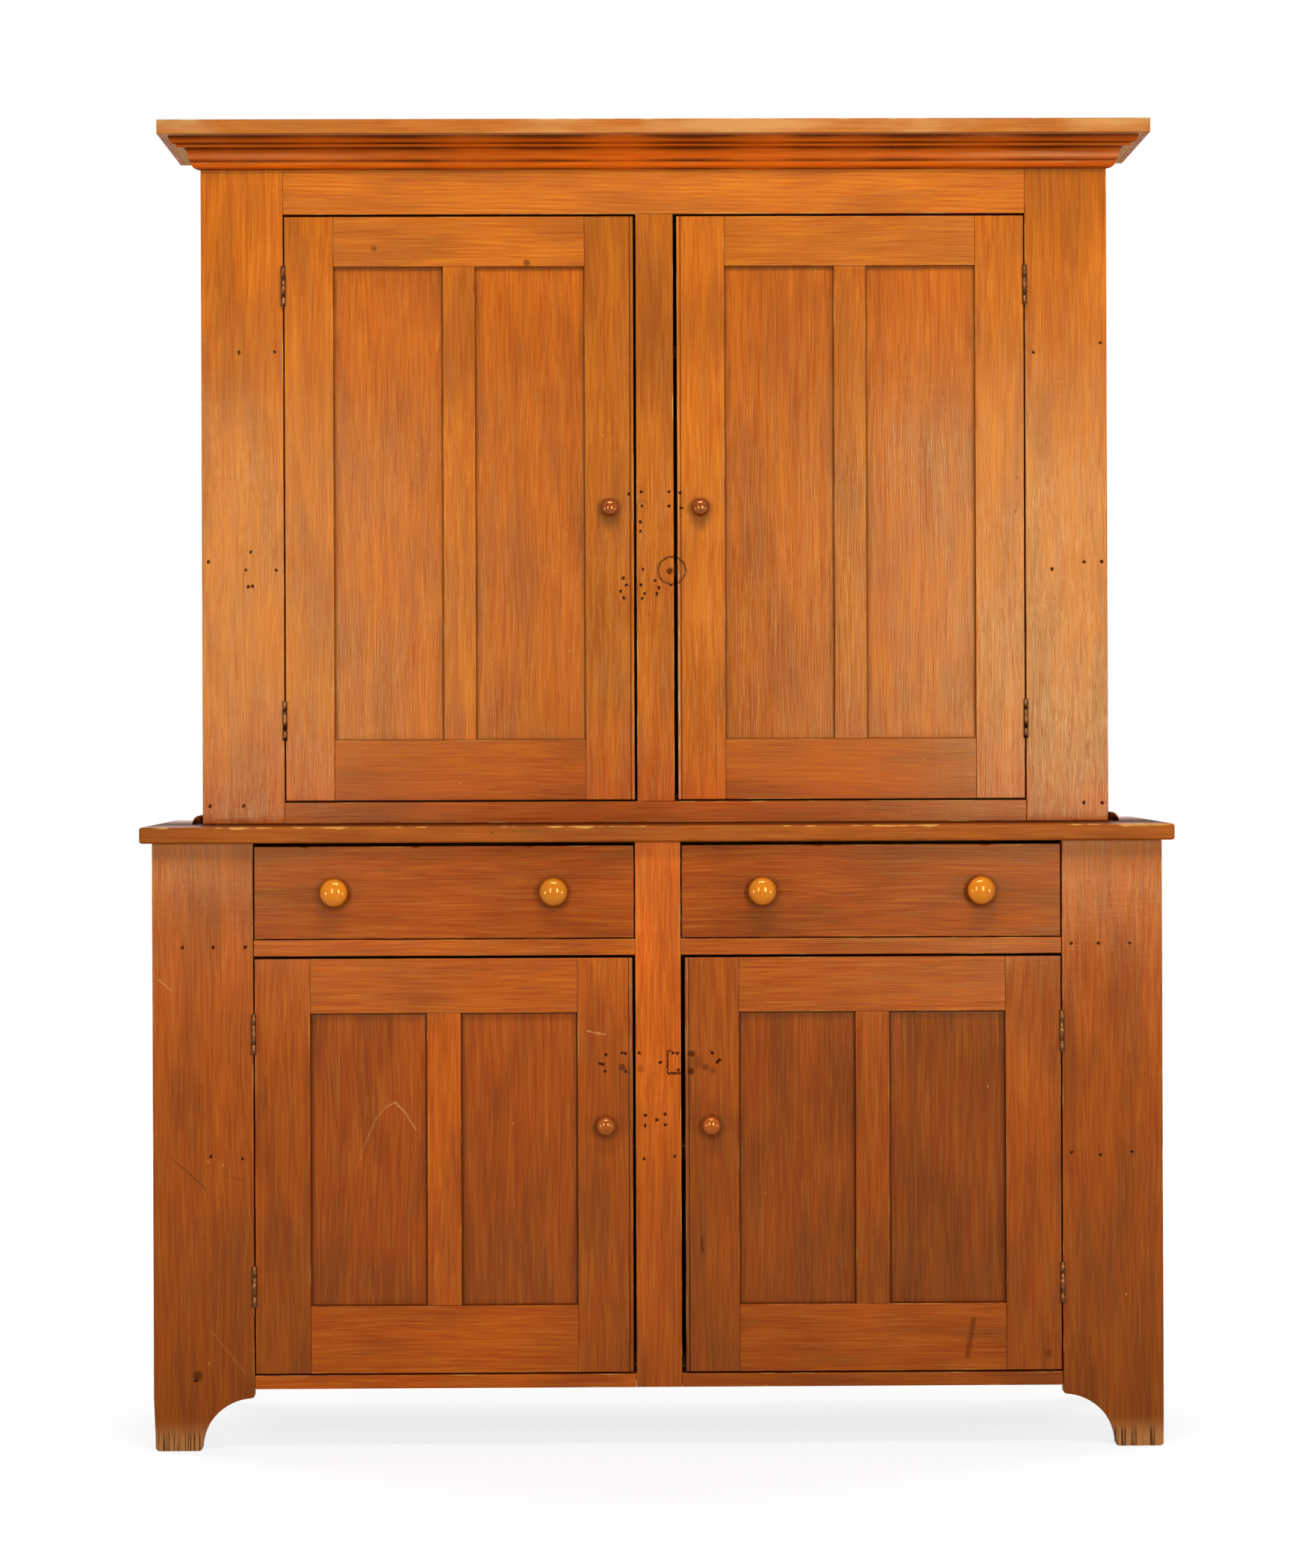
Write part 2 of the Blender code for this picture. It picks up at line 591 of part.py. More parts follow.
class Door:
    """Opening, sizes and hinge axis of one door."""

    def __init__(self, case, side):
        self.name = f"{case}_{side}"
        self.sign = -1 if side == "left" else 1
        upper = case == "upper"
        self.wood = UPPER_WOOD if upper else LOWER_WOOD
        self.face = UPPER_FACE if upper else LOWER_FACE
        self.near = (UPPER_CENTRE_STILE if upper else LOWER_CENTRE_STILE) / 2
        self.far = UPPER_HALF - UPPER_STILE if upper else LOWER_HALF - LOWER_STILE
        sill = UPPER_DOOR_SILL if upper else LOWER_DOOR_SILL
        head = UPPER_DOOR_HEAD if upper else LOWER_DOOR_HEAD
        self.low = sill + DOOR_GAP_BOTTOM
        self.high = head - DOOR_GAP_TOP
        self.lock = self.near + DOOR_GAP_LOCK
        self.hang = self.far - DOOR_GAP_HINGE
        self.stile = UPPER_DOOR_STILE if upper else LOWER_DOOR_STILE
        self.muntin = UPPER_DOOR_MUNTIN if upper else LOWER_DOOR_MUNTIN
        self.panel_low = self.low + (UPPER_DOOR_BOTTOM_RAIL if upper else LOWER_DOOR_BOTTOM_RAIL)
        self.panel_high = self.high - (UPPER_DOOR_TOP_RAIL if upper else LOWER_DOOR_TOP_RAIL)
        self.knob_height = (self.low + self.high) / 2 if upper else LOWER_KNOB_HEIGHT
        self.hinge_heights = {"top": self.panel_high - HINGE_LENGTH / 2,
                              "bottom": self.panel_low + HINGE_LENGTH / 2}
        axis_x = self.sign * (self.far - DOOR_GAP_HINGE / 2)
        axis_y = self.face - HINGE_STAND_OFF - HINGE_BARREL
        self.axis = Vector((axis_x, axis_y, (self.low + self.high) / 2))

    def panel_openings(self):
        """The two panel openings' edges, measured from the cupboard's middle."""
        low = self.lock + self.stile
        high = self.hang - self.stile
        width = (high - low - self.muntin) / 2
        return {"inner": (low, low + width), "outer": (high - width, high)}


def build_door(door, case_frame):
    """A door's frame, panels, knob and hinges, let into the face frame that carries it."""
    carrier = joint_empty(f"door_{door.name}_axis", door.axis)
    frame = door_frame(door, carrier)
    for place_name, opening in door.panel_openings().items():
        door_panel(door, place_name, opening, carrier)
    knob_x = door.sign * (door.lock + door.stile / 2)
    knob(f"door_{door.name}_knob", frame, (knob_x, door.face, door.knob_height), DOOR_KNOB, DARK_KNOB,
         carrier)
    for end, height in door.hinge_heights.items():
        build_hinge(door, end, height, case_frame, frame, carrier)


def door_frame(door, carrier):
    """Two stiles, two rails and a muntin, grooved all round for the panels."""
    sign = door.sign
    depth = (door.face, door.face + FRONT_STOCK)
    frame = board(f"door_{door.name}_frame", (sign * door.lock, sign * door.hang), depth,
                  (door.low, door.high), door.wood, carrier)
    through = (depth[0] - OVERCUT, depth[1] + OVERCUT)
    groove_depth = (door.face + PANEL_RECESS, door.face + PANEL_RECESS + PANEL_EDGE + 2 * FIT)
    height = (door.panel_low, door.panel_high)
    groove_height = (door.panel_low - PANEL_GROOVE, door.panel_high + PANEL_GROOVE)
    openings = door.panel_openings().values()
    cut(frame, *[((sign * low, sign * high), through, height) for low, high in openings])
    cut(frame, *[((sign * (low - PANEL_GROOVE), sign * (high + PANEL_GROOVE)), groove_depth,
                  groove_height) for low, high in openings])
    quirk = door.lock + QUIRK_INSET
    cut(frame, ((sign * quirk, sign * (quirk + QUIRK_WIDTH)),
                (door.face - OVERCUT, door.face + QUIRK_DEPTH),
                (door.low - OVERCUT, door.high + OVERCUT)))
    return frame


def door_panel(door, place_name, opening, carrier):
    """Floating panel: flat in front, with a raised field behind."""
    side = PANEL_GROOVE - PANEL_ROOM
    x = (door.sign * (opening[0] - side), door.sign * (opening[1] + side))
    y = (door.face + PANEL_RECESS + FIT, door.face + PANEL_RECESS + FIT + PANEL_EDGE)
    z = (door.panel_low - PANEL_GROOVE + FIT, door.panel_high + PANEL_GROOVE - PANEL_ROOM)
    panel = board(f"door_{door.name}_panel_{place_name}", x, y, z, PANEL_WOOD, carrier)
    form = bmesh.new()
    form.from_mesh(panel.data)
    form.faces.ensure_lookup_table()
    field = max(form.faces, key=lambda face: face.calc_center_median().y)
    bmesh.ops.inset_region(form, faces=[field], thickness=PANEL_GROOVE + FIELD_MARGIN, depth=0.0)
    bmesh.ops.inset_region(form, faces=[field], thickness=FIELD_SLOPE, depth=FIELD_RISE)
    form.to_mesh(panel.data)
    form.free()
    return panel


# Hinges

def build_hinge(door, end, height, case_frame, frame, carrier):
    """Butt hinge: a case leaf with the middle knuckle and the pin, a door leaf with two knuckles."""
    half = HINGE_LENGTH / 2
    middle = half - HINGE_END_KNUCKLE
    centre = Vector((door.axis.x, door.axis.y, height))
    name = f"hinge_{door.name}_{end}"
    tip = half - HINGE_PIN_TIP
    tip_radius = HINGE_PIN - HINGE_PIN_TIP
    profile = [(0.0, half), (tip_radius, half), (HINGE_PIN, tip), (HINGE_PIN, middle - FIT),
               (HINGE_BARREL, middle - FIT), (HINGE_BARREL, FIT - middle), (HINGE_PIN, FIT - middle),
               (HINGE_PIN, -tip), (tip_radius, -half), (0.0, -half)]
    case_leaf = turned(f"{name}_case_leaf", profile, AGED_STEEL, BARREL_STEPS, centre, (0, 0, 0))
    edge = door.sign * door.far
    add_leaf(case_leaf, edge, door.sign, door, height, [(FIT - middle, middle - FIT)])
    cut_mortise(case_frame, edge, door.sign, door, height)

    edge = door.sign * door.hang
    knuckles = [(middle + FIT, half), (-half, -middle - FIT)]
    door_leaf = barrel(f"{name}_door_leaf", centre, knuckles[0], carrier)
    lower = barrel_tool(f"{name}_lower_knuckle", centre, knuckles[1])
    add_leaf(door_leaf, edge, -door.sign, door, height, knuckles)
    combine(door_leaf, lower, "UNION")
    bore = round_cutter(f"{name}_bore", HINGE_PIN + HINGE_PIN_GAP, HINGE_LENGTH + OVERCUT,
                        Matrix.Translation(centre))
    combine(door_leaf, bore, "DIFFERENCE")
    cut_mortise(frame, edge, -door.sign, door, height)


def add_leaf(target, edge, toward, door, height, knuckles):
    """A leaf let into the wood past an edge, and the necks that join it to its knuckles."""
    half = HINGE_LENGTH / 2
    x = (edge, edge + toward * HINGE_LEAF_THICKNESS)
    neck_depth = (door.axis.y, door.face + HINGE_LEAF_THICKNESS)
    fuse(target, *[(x, neck_depth, (height + low, height + high)) for low, high in knuckles])
    fuse(target, (x, (door.face, door.face + HINGE_LEAF), (height - half, height + half)))


def cut_mortise(target, edge, toward, door, height):
    """Shallow recess that a hinge leaf lies in."""
    half = HINGE_LENGTH / 2 + FIT
    cut(target, ((edge - toward * OVERCUT, edge + toward * (HINGE_LEAF_THICKNESS + FIT)),
                 (door.face - OVERCUT, door.face + HINGE_LEAF + FIT), (height - half, height + half)))


def barrel_mesh(name, length):
    mesh = bpy.data.meshes.new(name)
    form = bmesh.new()
    bmesh.ops.create_cone(form, cap_ends=True, segments=BARREL_STEPS, radius1=HINGE_BARREL,
                          radius2=HINGE_BARREL, depth=length)
    form.to_mesh(mesh)
    form.free()
    return mesh


def barrel(name, centre, span, carrier):
    """Knuckle standing on the hinge's axis, as a part of its own."""
    obj = bpy.data.objects.new(name, barrel_mesh(name, span[1] - span[0]))
    place(obj, PARTS, centre + Vector((0, 0, sum(span) / 2)), carrier)
    set_finish(obj, AGED_STEEL)
    return obj


def barrel_tool(name, centre, span):
    """Knuckle that is joined to another piece."""
    obj = bpy.data.objects.new(name, barrel_mesh(name, span[1] - span[0]))
    place(obj, CUTTERS, centre + Vector((0, 0, sum(span) / 2)))
    return as_cutter(obj)


# Knobs

def knob_profile(sizes):
    """Mushroom knob: a domed head, a waisted neck and a tenon, from its top to its bottom."""
    radius, length, dome, neck, foot, tenon = sizes
    head = arc((0.0, length - dome), (radius, dome), 90, KNOB_HEAD_TURN)
    underside = head[-1][1]
    stem = [(neck, underside / 2), (foot, FIT)]
    return [*head, *stem, (tenon, FIT), (tenon, -FRONT_STOCK), (0.0, -FRONT_STOCK)]


def knob(name, carrier_piece, location, sizes, finish, parent):
    """Turned knob whose tenon fills a hole through the piece that carries it."""
    turn = (math.pi / 2, 0.0, 0.0)
    turned(name, knob_profile(sizes), finish, KNOB_STEPS, location, turn, parent)
    tenon = sizes[-1]
    hole = Matrix.Translation(location) @ Matrix.Rotation(math.pi / 2, 4, "X")
    bore = round_cutter(name + "_hole", tenon + FIT, 2 * (FRONT_STOCK + OVERCUT), hole)
    combine(carrier_piece, bore, "DIFFERENCE")


# Drawers

def build_drawer(side, sign):
    near = LOWER_CENTRE_STILE / 2 + DRAWER_GAP_SIDE
    far = LOWER_HALF - LOWER_STILE - DRAWER_GAP_SIDE
    middle = sign * (near + far) / 2
    half = (far - near) / 2
    front_height = (DRAWER_FLOOR + DRAWER_GAP_BOTTOM, LOWER_HEIGHT - DRAWER_GAP_TOP)
    centre_height = sum(front_height) / 2
    carrier = joint_empty(f"drawer_{side}_axis", (middle, LOWER_FACE, centre_height))
    back_end = BACK_INSIDE - DRAWER_BACK_ROOM
    front = drawer_front(side, middle, half, front_height, carrier)
    drawer_box(side, middle, half, back_end, carrier)
    inside = half - DRAWER_SIDE + DRAWER_GROOVE - FIT
    bottom_low = DRAWER_FLOOR + FIT + DRAWER_BOTTOM_LIFT
    board(f"drawer_{side}_bottom", (middle - inside, middle + inside),
          (LOWER_FACE + FRONT_STOCK - DRAWER_GROOVE + FIT, back_end),
          (bottom_low, bottom_low + DRAWER_BOTTOM), INNER_WOOD, carrier)
    for name, offset in (("left", -1), ("right", 1)):
        place_x = middle + offset * DRAWER_KNOB_SPACING / 2
        knob(f"drawer_{side}_knob_{name}", front, (place_x, LOWER_FACE, centre_height),
             DRAWER_KNOB, GOLDEN_KNOB, carrier)


def bottom_groove():
    """Heights of the groove that a drawer's bottom slides in."""
    low = DRAWER_FLOOR + DRAWER_BOTTOM_LIFT
    return (low, low + DRAWER_BOTTOM + 2 * FIT)


def tail_heights():
    """Middle height of each dovetail on a drawer's side."""
    pitch = DRAWER_SIDE_HEIGHT / DOVETAIL_COUNT
    return [DRAWER_FLOOR + FIT + pitch * (i + 0.5) for i in range(DOVETAIL_COUNT)]


def tail(height, grow):
    """One dovetail from its neck at the bottom round to its neck at the top, grown by a clearance."""
    tip = LOWER_FACE + FRONT_STOCK - DOVETAIL_LAP + FIT - grow
    neck = DOVETAIL_NECK / 2 + grow
    end = DOVETAIL_TIP / 2 + grow
    return [(LOWER_INSIDE, height - neck), (tip, height - end), (tip, height + end),
            (LOWER_INSIDE, height + neck)]


def drawer_front(side, middle, half, height, carrier):
    """Drawer front with dovetail sockets at its ends and a groove for the bottom."""
    depth = (LOWER_FACE, LOWER_FACE + FRONT_STOCK)
    front = board(f"drawer_{side}_front", (middle - half, middle + half), depth, height, LOWER_WOOD,
                  carrier)
    inside = half - DRAWER_SIDE
    reach = inside + DRAWER_GROOVE
    cut(front, ((middle - reach, middle + reach), (depth[1] - DRAWER_GROOVE, depth[1] + OVERCUT),
                bottom_groove()))
    for end in (-1, 1):
        span = (middle + end * (inside - FIT), middle + end * (half + OVERCUT))
        for number, tail_height in enumerate(tail_heights(), 1):
            socket = prism_cutter(f"drawer_{side}_socket_{end}_{number}", tail(tail_height, FIT), "X", span)
            combine(front, socket, "DIFFERENCE")
    return front


def drawer_box(side, middle, half, back_end, carrier):
    """Two dovetailed sides and the back between them, glued up as one."""
    low = DRAWER_FLOOR + FIT
    high = low + DRAWER_SIDE_HEIGHT
    outline = [(back_end, low), (LOWER_INSIDE, low)]
    for tail_height in tail_heights():
        outline += tail(tail_height, 0.0)
    outline += [(LOWER_INSIDE, high), (back_end, high)]
    inside = half - DRAWER_SIDE
    box = prism_part(f"drawer_{side}_box", outline, "X", (middle - half, middle - inside), INNER_WOOD,
                     carrier)
    groove_top = bottom_groove()[1]
    let_in = inside + DRAWER_GROOVE / 2
    fuse(box, ((middle - let_in, middle + let_in), (back_end - DRAWER_SIDE, back_end - FIT),
               (groove_top, high - DRAWER_BACK_DROP)))
    other = prism_cutter(f"drawer_{side}_far_side", outline, "X", (middle + inside, middle + half))
    combine(box, other, "UNION")
    reach = inside + DRAWER_GROOVE
    cut(box, ((middle - reach, middle + reach), (LOWER_INSIDE - OVERCUT, back_end + OVERCUT),
              bottom_groove()))
    return box


face_frames = {"lower": lower_case()}
waist_top()
face_frames["upper"] = upper_case()
cornice_cap()
cornice_moulding()
for case_name, face_frame in face_frames.items():
    for side_name in ("left", "right"):
        build_door(Door(case_name, side_name), face_frame)
for side_name, side_sign in (("left", -1), ("right", 1)):
    build_drawer(side_name, side_sign)
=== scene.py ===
# %% [markdown]
# # Step-back cupboard
# A tall country cupboard in two parts: a shallow upper case with a pair of long panelled doors stands
# on a deeper lower case with two drawers and a second pair of doors. The frame holds the sizes, the
# joints and the motion. This lesson dresses it: boards with worn edges, stained and varnished pine,
# turned knobs and old butt hinges, a camera and soft studio light.

import json
import math
import random

import bmesh
import bpy
from mathutils import Matrix, Vector, noise

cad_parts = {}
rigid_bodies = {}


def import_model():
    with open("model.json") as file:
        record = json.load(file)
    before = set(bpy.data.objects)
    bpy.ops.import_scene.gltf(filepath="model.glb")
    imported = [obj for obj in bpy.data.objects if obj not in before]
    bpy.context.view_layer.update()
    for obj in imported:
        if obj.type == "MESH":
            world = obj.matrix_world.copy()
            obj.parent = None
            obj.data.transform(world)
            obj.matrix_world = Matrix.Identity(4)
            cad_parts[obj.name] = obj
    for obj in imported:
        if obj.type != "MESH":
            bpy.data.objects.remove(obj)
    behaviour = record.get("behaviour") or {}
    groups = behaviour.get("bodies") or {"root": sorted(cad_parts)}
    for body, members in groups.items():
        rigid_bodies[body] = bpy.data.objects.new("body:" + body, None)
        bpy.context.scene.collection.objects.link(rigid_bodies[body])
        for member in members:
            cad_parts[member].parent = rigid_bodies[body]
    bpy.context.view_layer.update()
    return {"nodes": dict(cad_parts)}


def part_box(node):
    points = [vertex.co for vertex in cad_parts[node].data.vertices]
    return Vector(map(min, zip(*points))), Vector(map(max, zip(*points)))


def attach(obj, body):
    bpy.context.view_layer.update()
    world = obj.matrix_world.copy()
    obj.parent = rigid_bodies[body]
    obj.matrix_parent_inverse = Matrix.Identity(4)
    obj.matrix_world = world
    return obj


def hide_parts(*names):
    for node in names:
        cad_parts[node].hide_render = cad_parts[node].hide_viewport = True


for left_over in list(bpy.data.objects):
    bpy.data.objects.remove(left_over, do_unlink=True)
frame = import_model()

# %% [markdown]
# ## Where the camera stands
# The view was worked out from straight edges of the cupboard: a long lens, about six metres away, at
# breast height and almost square to the front. The image is a little taller than it is wide, so the
# lens is measured along its height. The small shifts only bring the cupboard to its place in the frame.

# %% Camera
IMAGE_WIDTH = 1762
IMAGE_HEIGHT = 2100
FOCAL_PIXELS = 5400.5
AXIS_PIXEL = (888.5, 979.6)
CAMERA_PLACE = Vector((-0.0656, -6.534, 1.1231))
CAMERA_TURN = {"Z": -0.688, "X": -0.013, "Y": 0.217}
SENSOR_MM = 36.0

turn = Matrix.Identity(3)
for axis, degrees in CAMERA_TURN.items():
    turn = turn @ Matrix.Rotation(math.radians(degrees), 3, axis)
right, forward, up = turn.col
camera_data = bpy.data.cameras.new("camera")
camera_data.sensor_width = SENSOR_MM
camera_data.lens = FOCAL_PIXELS / IMAGE_HEIGHT * SENSOR_MM
camera_data.shift_x = (IMAGE_WIDTH / 2 - AXIS_PIXEL[0]) / IMAGE_HEIGHT
camera_data.shift_y = (AXIS_PIXEL[1] - IMAGE_HEIGHT / 2) / IMAGE_HEIGHT
camera = bpy.data.objects.new("camera", camera_data)
camera.matrix_world = Matrix.Translation(CAMERA_PLACE) @ Matrix((right, up, -forward)).transposed().to_4x4()
bpy.context.scene.collection.objects.link(camera)
bpy.context.scene.camera = camera
bpy.context.scene.view_settings.view_transform = "Standard"
print("camera: lens", round(camera_data.lens, 1), "mm")

# %% [markdown]
# ## Small tools
# Colours are written as sRGB hex values and turned to linear by one function. A second function adds
# one shader node, with its settings and what feeds its inputs, and hands back the node's outputs.

# %% Colour and node helpers
MATH = "ShaderNodeMath"
VECTOR = "ShaderNodeVectorMath"
SPLIT = "ShaderNodeSeparateXYZ"
RANGE = "ShaderNodeMapRange"
NOISE = "ShaderNodeTexNoise"
MIX = "ShaderNodeMix"


def linear(hex_colour):
    """Turn an sRGB hex value into a linear colour."""
    channels = [int(hex_colour[i:i + 2], 16) / 255 for i in (0, 2, 4)]
    return (*(c / 12.92 if c <= 0.04045 else ((c + 0.055) / 1.055) ** 2.4 for c in channels), 1.0)


def add(tree, kind, inputs=None, **settings):
    """Add a node, set its properties, and fill its inputs from sockets or plain values."""
    made = tree.nodes.new(kind)
    for key, value in settings.items():
        setattr(made, key, value)
    for key, value in (inputs or {}).items():
        if isinstance(value, bpy.types.NodeSocket):
            tree.links.new(value, made.inputs[key])
        else:
            made.inputs[key].default_value = value
    return made.outputs


print("helpers: sRGB 808080 is", round(linear("808080")[0], 3), "in linear light")

# %% [markdown]
# ## Light, floor and background
# Two soft boxes stand beside the camera and put the pale sheen on the outer stiles. Two more, further
# out, model the knobs, and a wide light overhead makes the upper case brighter than the feet. Three
# boxes behind the front light the sides and the back, and never reach the front.
#
# A white room could light the wood as well, but it would wash the colours out. So the background is
# white only for the camera and for reflections, and the light that the wood gets from it is weak.

# %% Lights
FILL = 0.07                   # light that the background gives the wood
WHITE = linear("FFFFFF")
SOFT_BOXES = {                # place, aim, width, height and watts
    "near_box_left": ((-1.00, -3.4, 1.34), (-0.3, 0.0, 1.3), 0.5, 1.2, 22.5),
    "near_box_right": ((1.06, -3.4, 1.34), (0.3, 0.0, 1.3), 0.5, 1.2, 37),
    "wide_box_left": ((-3.1, -2.9, 0.6), (0.0, 0.0, 1.3), 0.5, 0.7, 22),
    "wide_box_right": ((3.1, -2.9, 0.6), (0.0, 0.0, 1.3), 0.5, 0.7, 22),
    "overhead": ((0.0, -2.2, 3.8), (0.0, 0.0, 1.9), 1.8, 0.7, 64),
    "side_box_left": ((-3.4, 1.5, 1.7), (-0.7, 0.1, 1.1), 0.9, 1.6, 60),
    "side_box_right": ((3.4, 1.5, 1.7), (0.7, 0.1, 1.1), 0.9, 1.6, 60),
    "back_box": ((0.0, 4.0, 2.2), (0.0, 0.3, 1.1), 2.4, 1.2, 100),
}

for name, (place, aim, width, height, watts) in SOFT_BOXES.items():
    lamp = bpy.data.lights.new(name, "AREA")
    lamp.shape = "RECTANGLE"
    lamp.size = width
    lamp.size_y = height
    lamp.energy = watts
    box = bpy.data.objects.new(name, lamp)
    box.location = place
    box.rotation_euler = (Vector(aim) - Vector(place)).to_track_quat("-Z", "Y").to_euler()
    bpy.context.scene.collection.objects.link(box)


def looked_at(tree):
    """1 for a ray that looks at a thing, straight, by reflection or through glass, and 0 for other light."""
    rays = add(tree, "ShaderNodeLightPath")
    seen = add(tree, MATH, {0: rays["Is Camera Ray"], 1: rays["Is Glossy Ray"]}, operation="MAXIMUM")[0]
    return add(tree, MATH, {0: seen, 1: rays["Is Transmission Ray"]}, operation="MAXIMUM")[0]


world = bpy.data.worlds.new("studio")
bpy.context.scene.world = world
world.use_nodes = True
sky = world.node_tree
level = add(sky, RANGE, {"Value": looked_at(sky), "To Min": FILL, "To Max": 1.0})[0]
sky.links.new(level, sky.nodes["Background"].inputs["Strength"])
sky.nodes["Background"].inputs["Color"].default_value = WHITE
print("lights:", ", ".join(SOFT_BOXES))

# %% [markdown]
# The floor is a plain pale sheet. Lamps alone would leave it grey, so it also glows for the camera, more
# in the distance, where it meets the background. It is real enough to keep the cupboard's soft shadow.

# %% Floor
FLOOR_REACH = 30.0
FLOOR_NEAR = 0.80             # glow close to the cupboard,
FLOOR_FAR = 1.0               # and in the distance
GLOW_START = 0.9              # metres from the middle where the glow begins to grow,
GLOW_END = 2.6                # and where it is full

floor_mesh = bpy.data.meshes.new("floor")
floor_form = bmesh.new()
bmesh.ops.create_grid(floor_form, x_segments=1, y_segments=1, size=FLOOR_REACH)
floor_form.to_mesh(floor_mesh)
floor_form.free()
floor = bpy.data.objects.new("floor", floor_mesh)
bpy.context.scene.collection.objects.link(floor)

pale = bpy.data.materials.new("pale_floor")
pale.use_nodes = True
tree = pale.node_tree
spread = add(tree, VECTOR, {0: add(tree, "ShaderNodeTexCoord")["Object"]}, operation="LENGTH")["Value"]
glow = add(tree, RANGE, {"Value": spread, "From Min": GLOW_START, "From Max": GLOW_END, "To Min": FLOOR_NEAR,
                         "To Max": FLOOR_FAR}, interpolation_type="SMOOTHSTEP")[0]
glow = add(tree, MATH, {0: looked_at(tree), 1: glow}, operation="MULTIPLY")[0]
shader = tree.nodes["Principled BSDF"]
shader.inputs["Base Color"].default_value = linear("8A8A8A")
shader.inputs["Roughness"].default_value = 0.9
shader.inputs["Specular IOR Level"].default_value = 0.0
shader.inputs["Emission Color"].default_value = WHITE
tree.links.new(glow, shader.inputs["Emission Strength"])
floor_mesh.materials.append(pale)
print("floor: laid")

# %% [markdown]
# ## Stained and varnished pine
# The wood is old pine, stained orange-brown and varnished with shellac that has darkened unevenly. A
# picture of a plank could be wrapped round each board, but it would repeat, and would not turn at the
# joints. So the finish is drawn from noise. Every board tells it where a point lies: across, through
# and along the grain.
#
# The grain comes first. Noise drawn out along the board gives soft streaks and fine fibres, and rings
# round a heart behind the board give faint flames. Real fibres are a fraction of a millimetre wide; the
# finest ones are drawn 2 mm wide here, because finer ones would not show in the render.

# %% Grain
RING_UNIT = 0.314             # ring spacing of the wave texture at scale 1
WANDER = (0.016, 0.016, 0.0)  # metres that the grain wanders from side to side
MIDDLE = (0.5, 0.5, 0.5)      # the mean of a noise
HEART = {"Location": (0.02, 0.07, 0.0), "Rotation": (0.022, 0.016, 0.0)}
FIBRE_SHARE = 0.42            # how much of the grain is fine fibre


def streaks(tree, vector, across, along, detail, rough=0.5):
    """A pattern drawn out along the grain. It changes so many times in a metre, across and along it."""
    drawn = add(tree, VECTOR, {0: vector, 1: (across, across, along)}, operation="MULTIPLY")[0]
    return add(tree, NOISE, {"Vector": drawn, "Scale": 1.0, "Detail": detail, "Roughness": rough})


def read_board(tree):
    """What a board keeps at its points, and the places that its patterns are drawn at."""
    at = {name: add(tree, "ShaderNodeAttribute", attribute_name=name)["Vector"]
          for name in ("board", "half", "seed", "make")}
    at["make"] = add(tree, SPLIT, {0: at["make"]})
    at["place"] = add(tree, VECTOR, {0: at["board"], 1: at["seed"]}, operation="ADD")[0]
    sway = streaks(tree, at["place"], 6.0, 3.5, 1.0)["Color"]  # waves about 170 by 290 mm
    sway = add(tree, VECTOR, {0: sway, 1: MIDDLE}, operation="SUBTRACT")[0]
    at["bent"] = add(tree, VECTOR, {0: sway, 1: WANDER, 2: at["place"]}, operation="MULTIPLY_ADD")[0]
    return at


def draw_grain(tree, at, streak_mm, fibre_mm, ring_mm, ring_share):
    """The grain, from dark to light, and its fibres alone."""
    # Streaks are about 250 mm long, and fibres 90 mm.
    streak = streaks(tree, at["bent"], 1000.0 / streak_mm, 4.0, 4.0, 0.6)["Fac"]
    streak = add(tree, RANGE, {"Value": streak, "From Min": 0.2, "From Max": 0.8})[0]
    fibre = streaks(tree, at["bent"], 1000.0 / fibre_mm, 11.0, 2.0, 0.6)["Fac"]
    fibre = add(tree, RANGE, {"Value": fibre, "From Min": 0.32, "From Max": 0.68})[0]
    heart = add(tree, "ShaderNodeMapping", {"Vector": at["bent"], **HEART})[0]
    heart = add(tree, VECTOR, {0: heart, 1: at["seed"]}, operation="SUBTRACT")[0]
    rings = add(tree, "ShaderNodeTexWave", {"Vector": heart, "Scale": RING_UNIT * 1000.0 / ring_mm,
                                            "Distortion": 4.0, "Detail": 2.0, "Detail Scale": 0.3},
                wave_type="RINGS", rings_direction="Z", wave_profile="SAW")["Fac"]
    figure = add(tree, MATH, {0: at["make"][2], 1: ring_share}, operation="ADD")[0]
    grain = add(tree, MIX, {0: figure, 2: streak, 3: rings}, data_type="FLOAT")[0]
    return add(tree, MIX, {0: FIBRE_SHARE, 2: grain, 3: fibre}, data_type="FLOAT")[0], fibre


print("grain: fine fibres make up", FIBRE_SHARE, "of it")

# %% [markdown]
# Over the grain comes the stain. It went in deeper in some places, which left darker clouds, longer
# along the grain than across it. Pores where the varnish has dried out show as pale flecks. Each board
# has a tone of its own, and may change from its low to its high end.

# %% Stain
DRY_PORE = linear("E0983C")
PORE = 1.5                    # a pore's width, in fibres
TONES = {"To Min": 0.83, "To Max": 1.15}


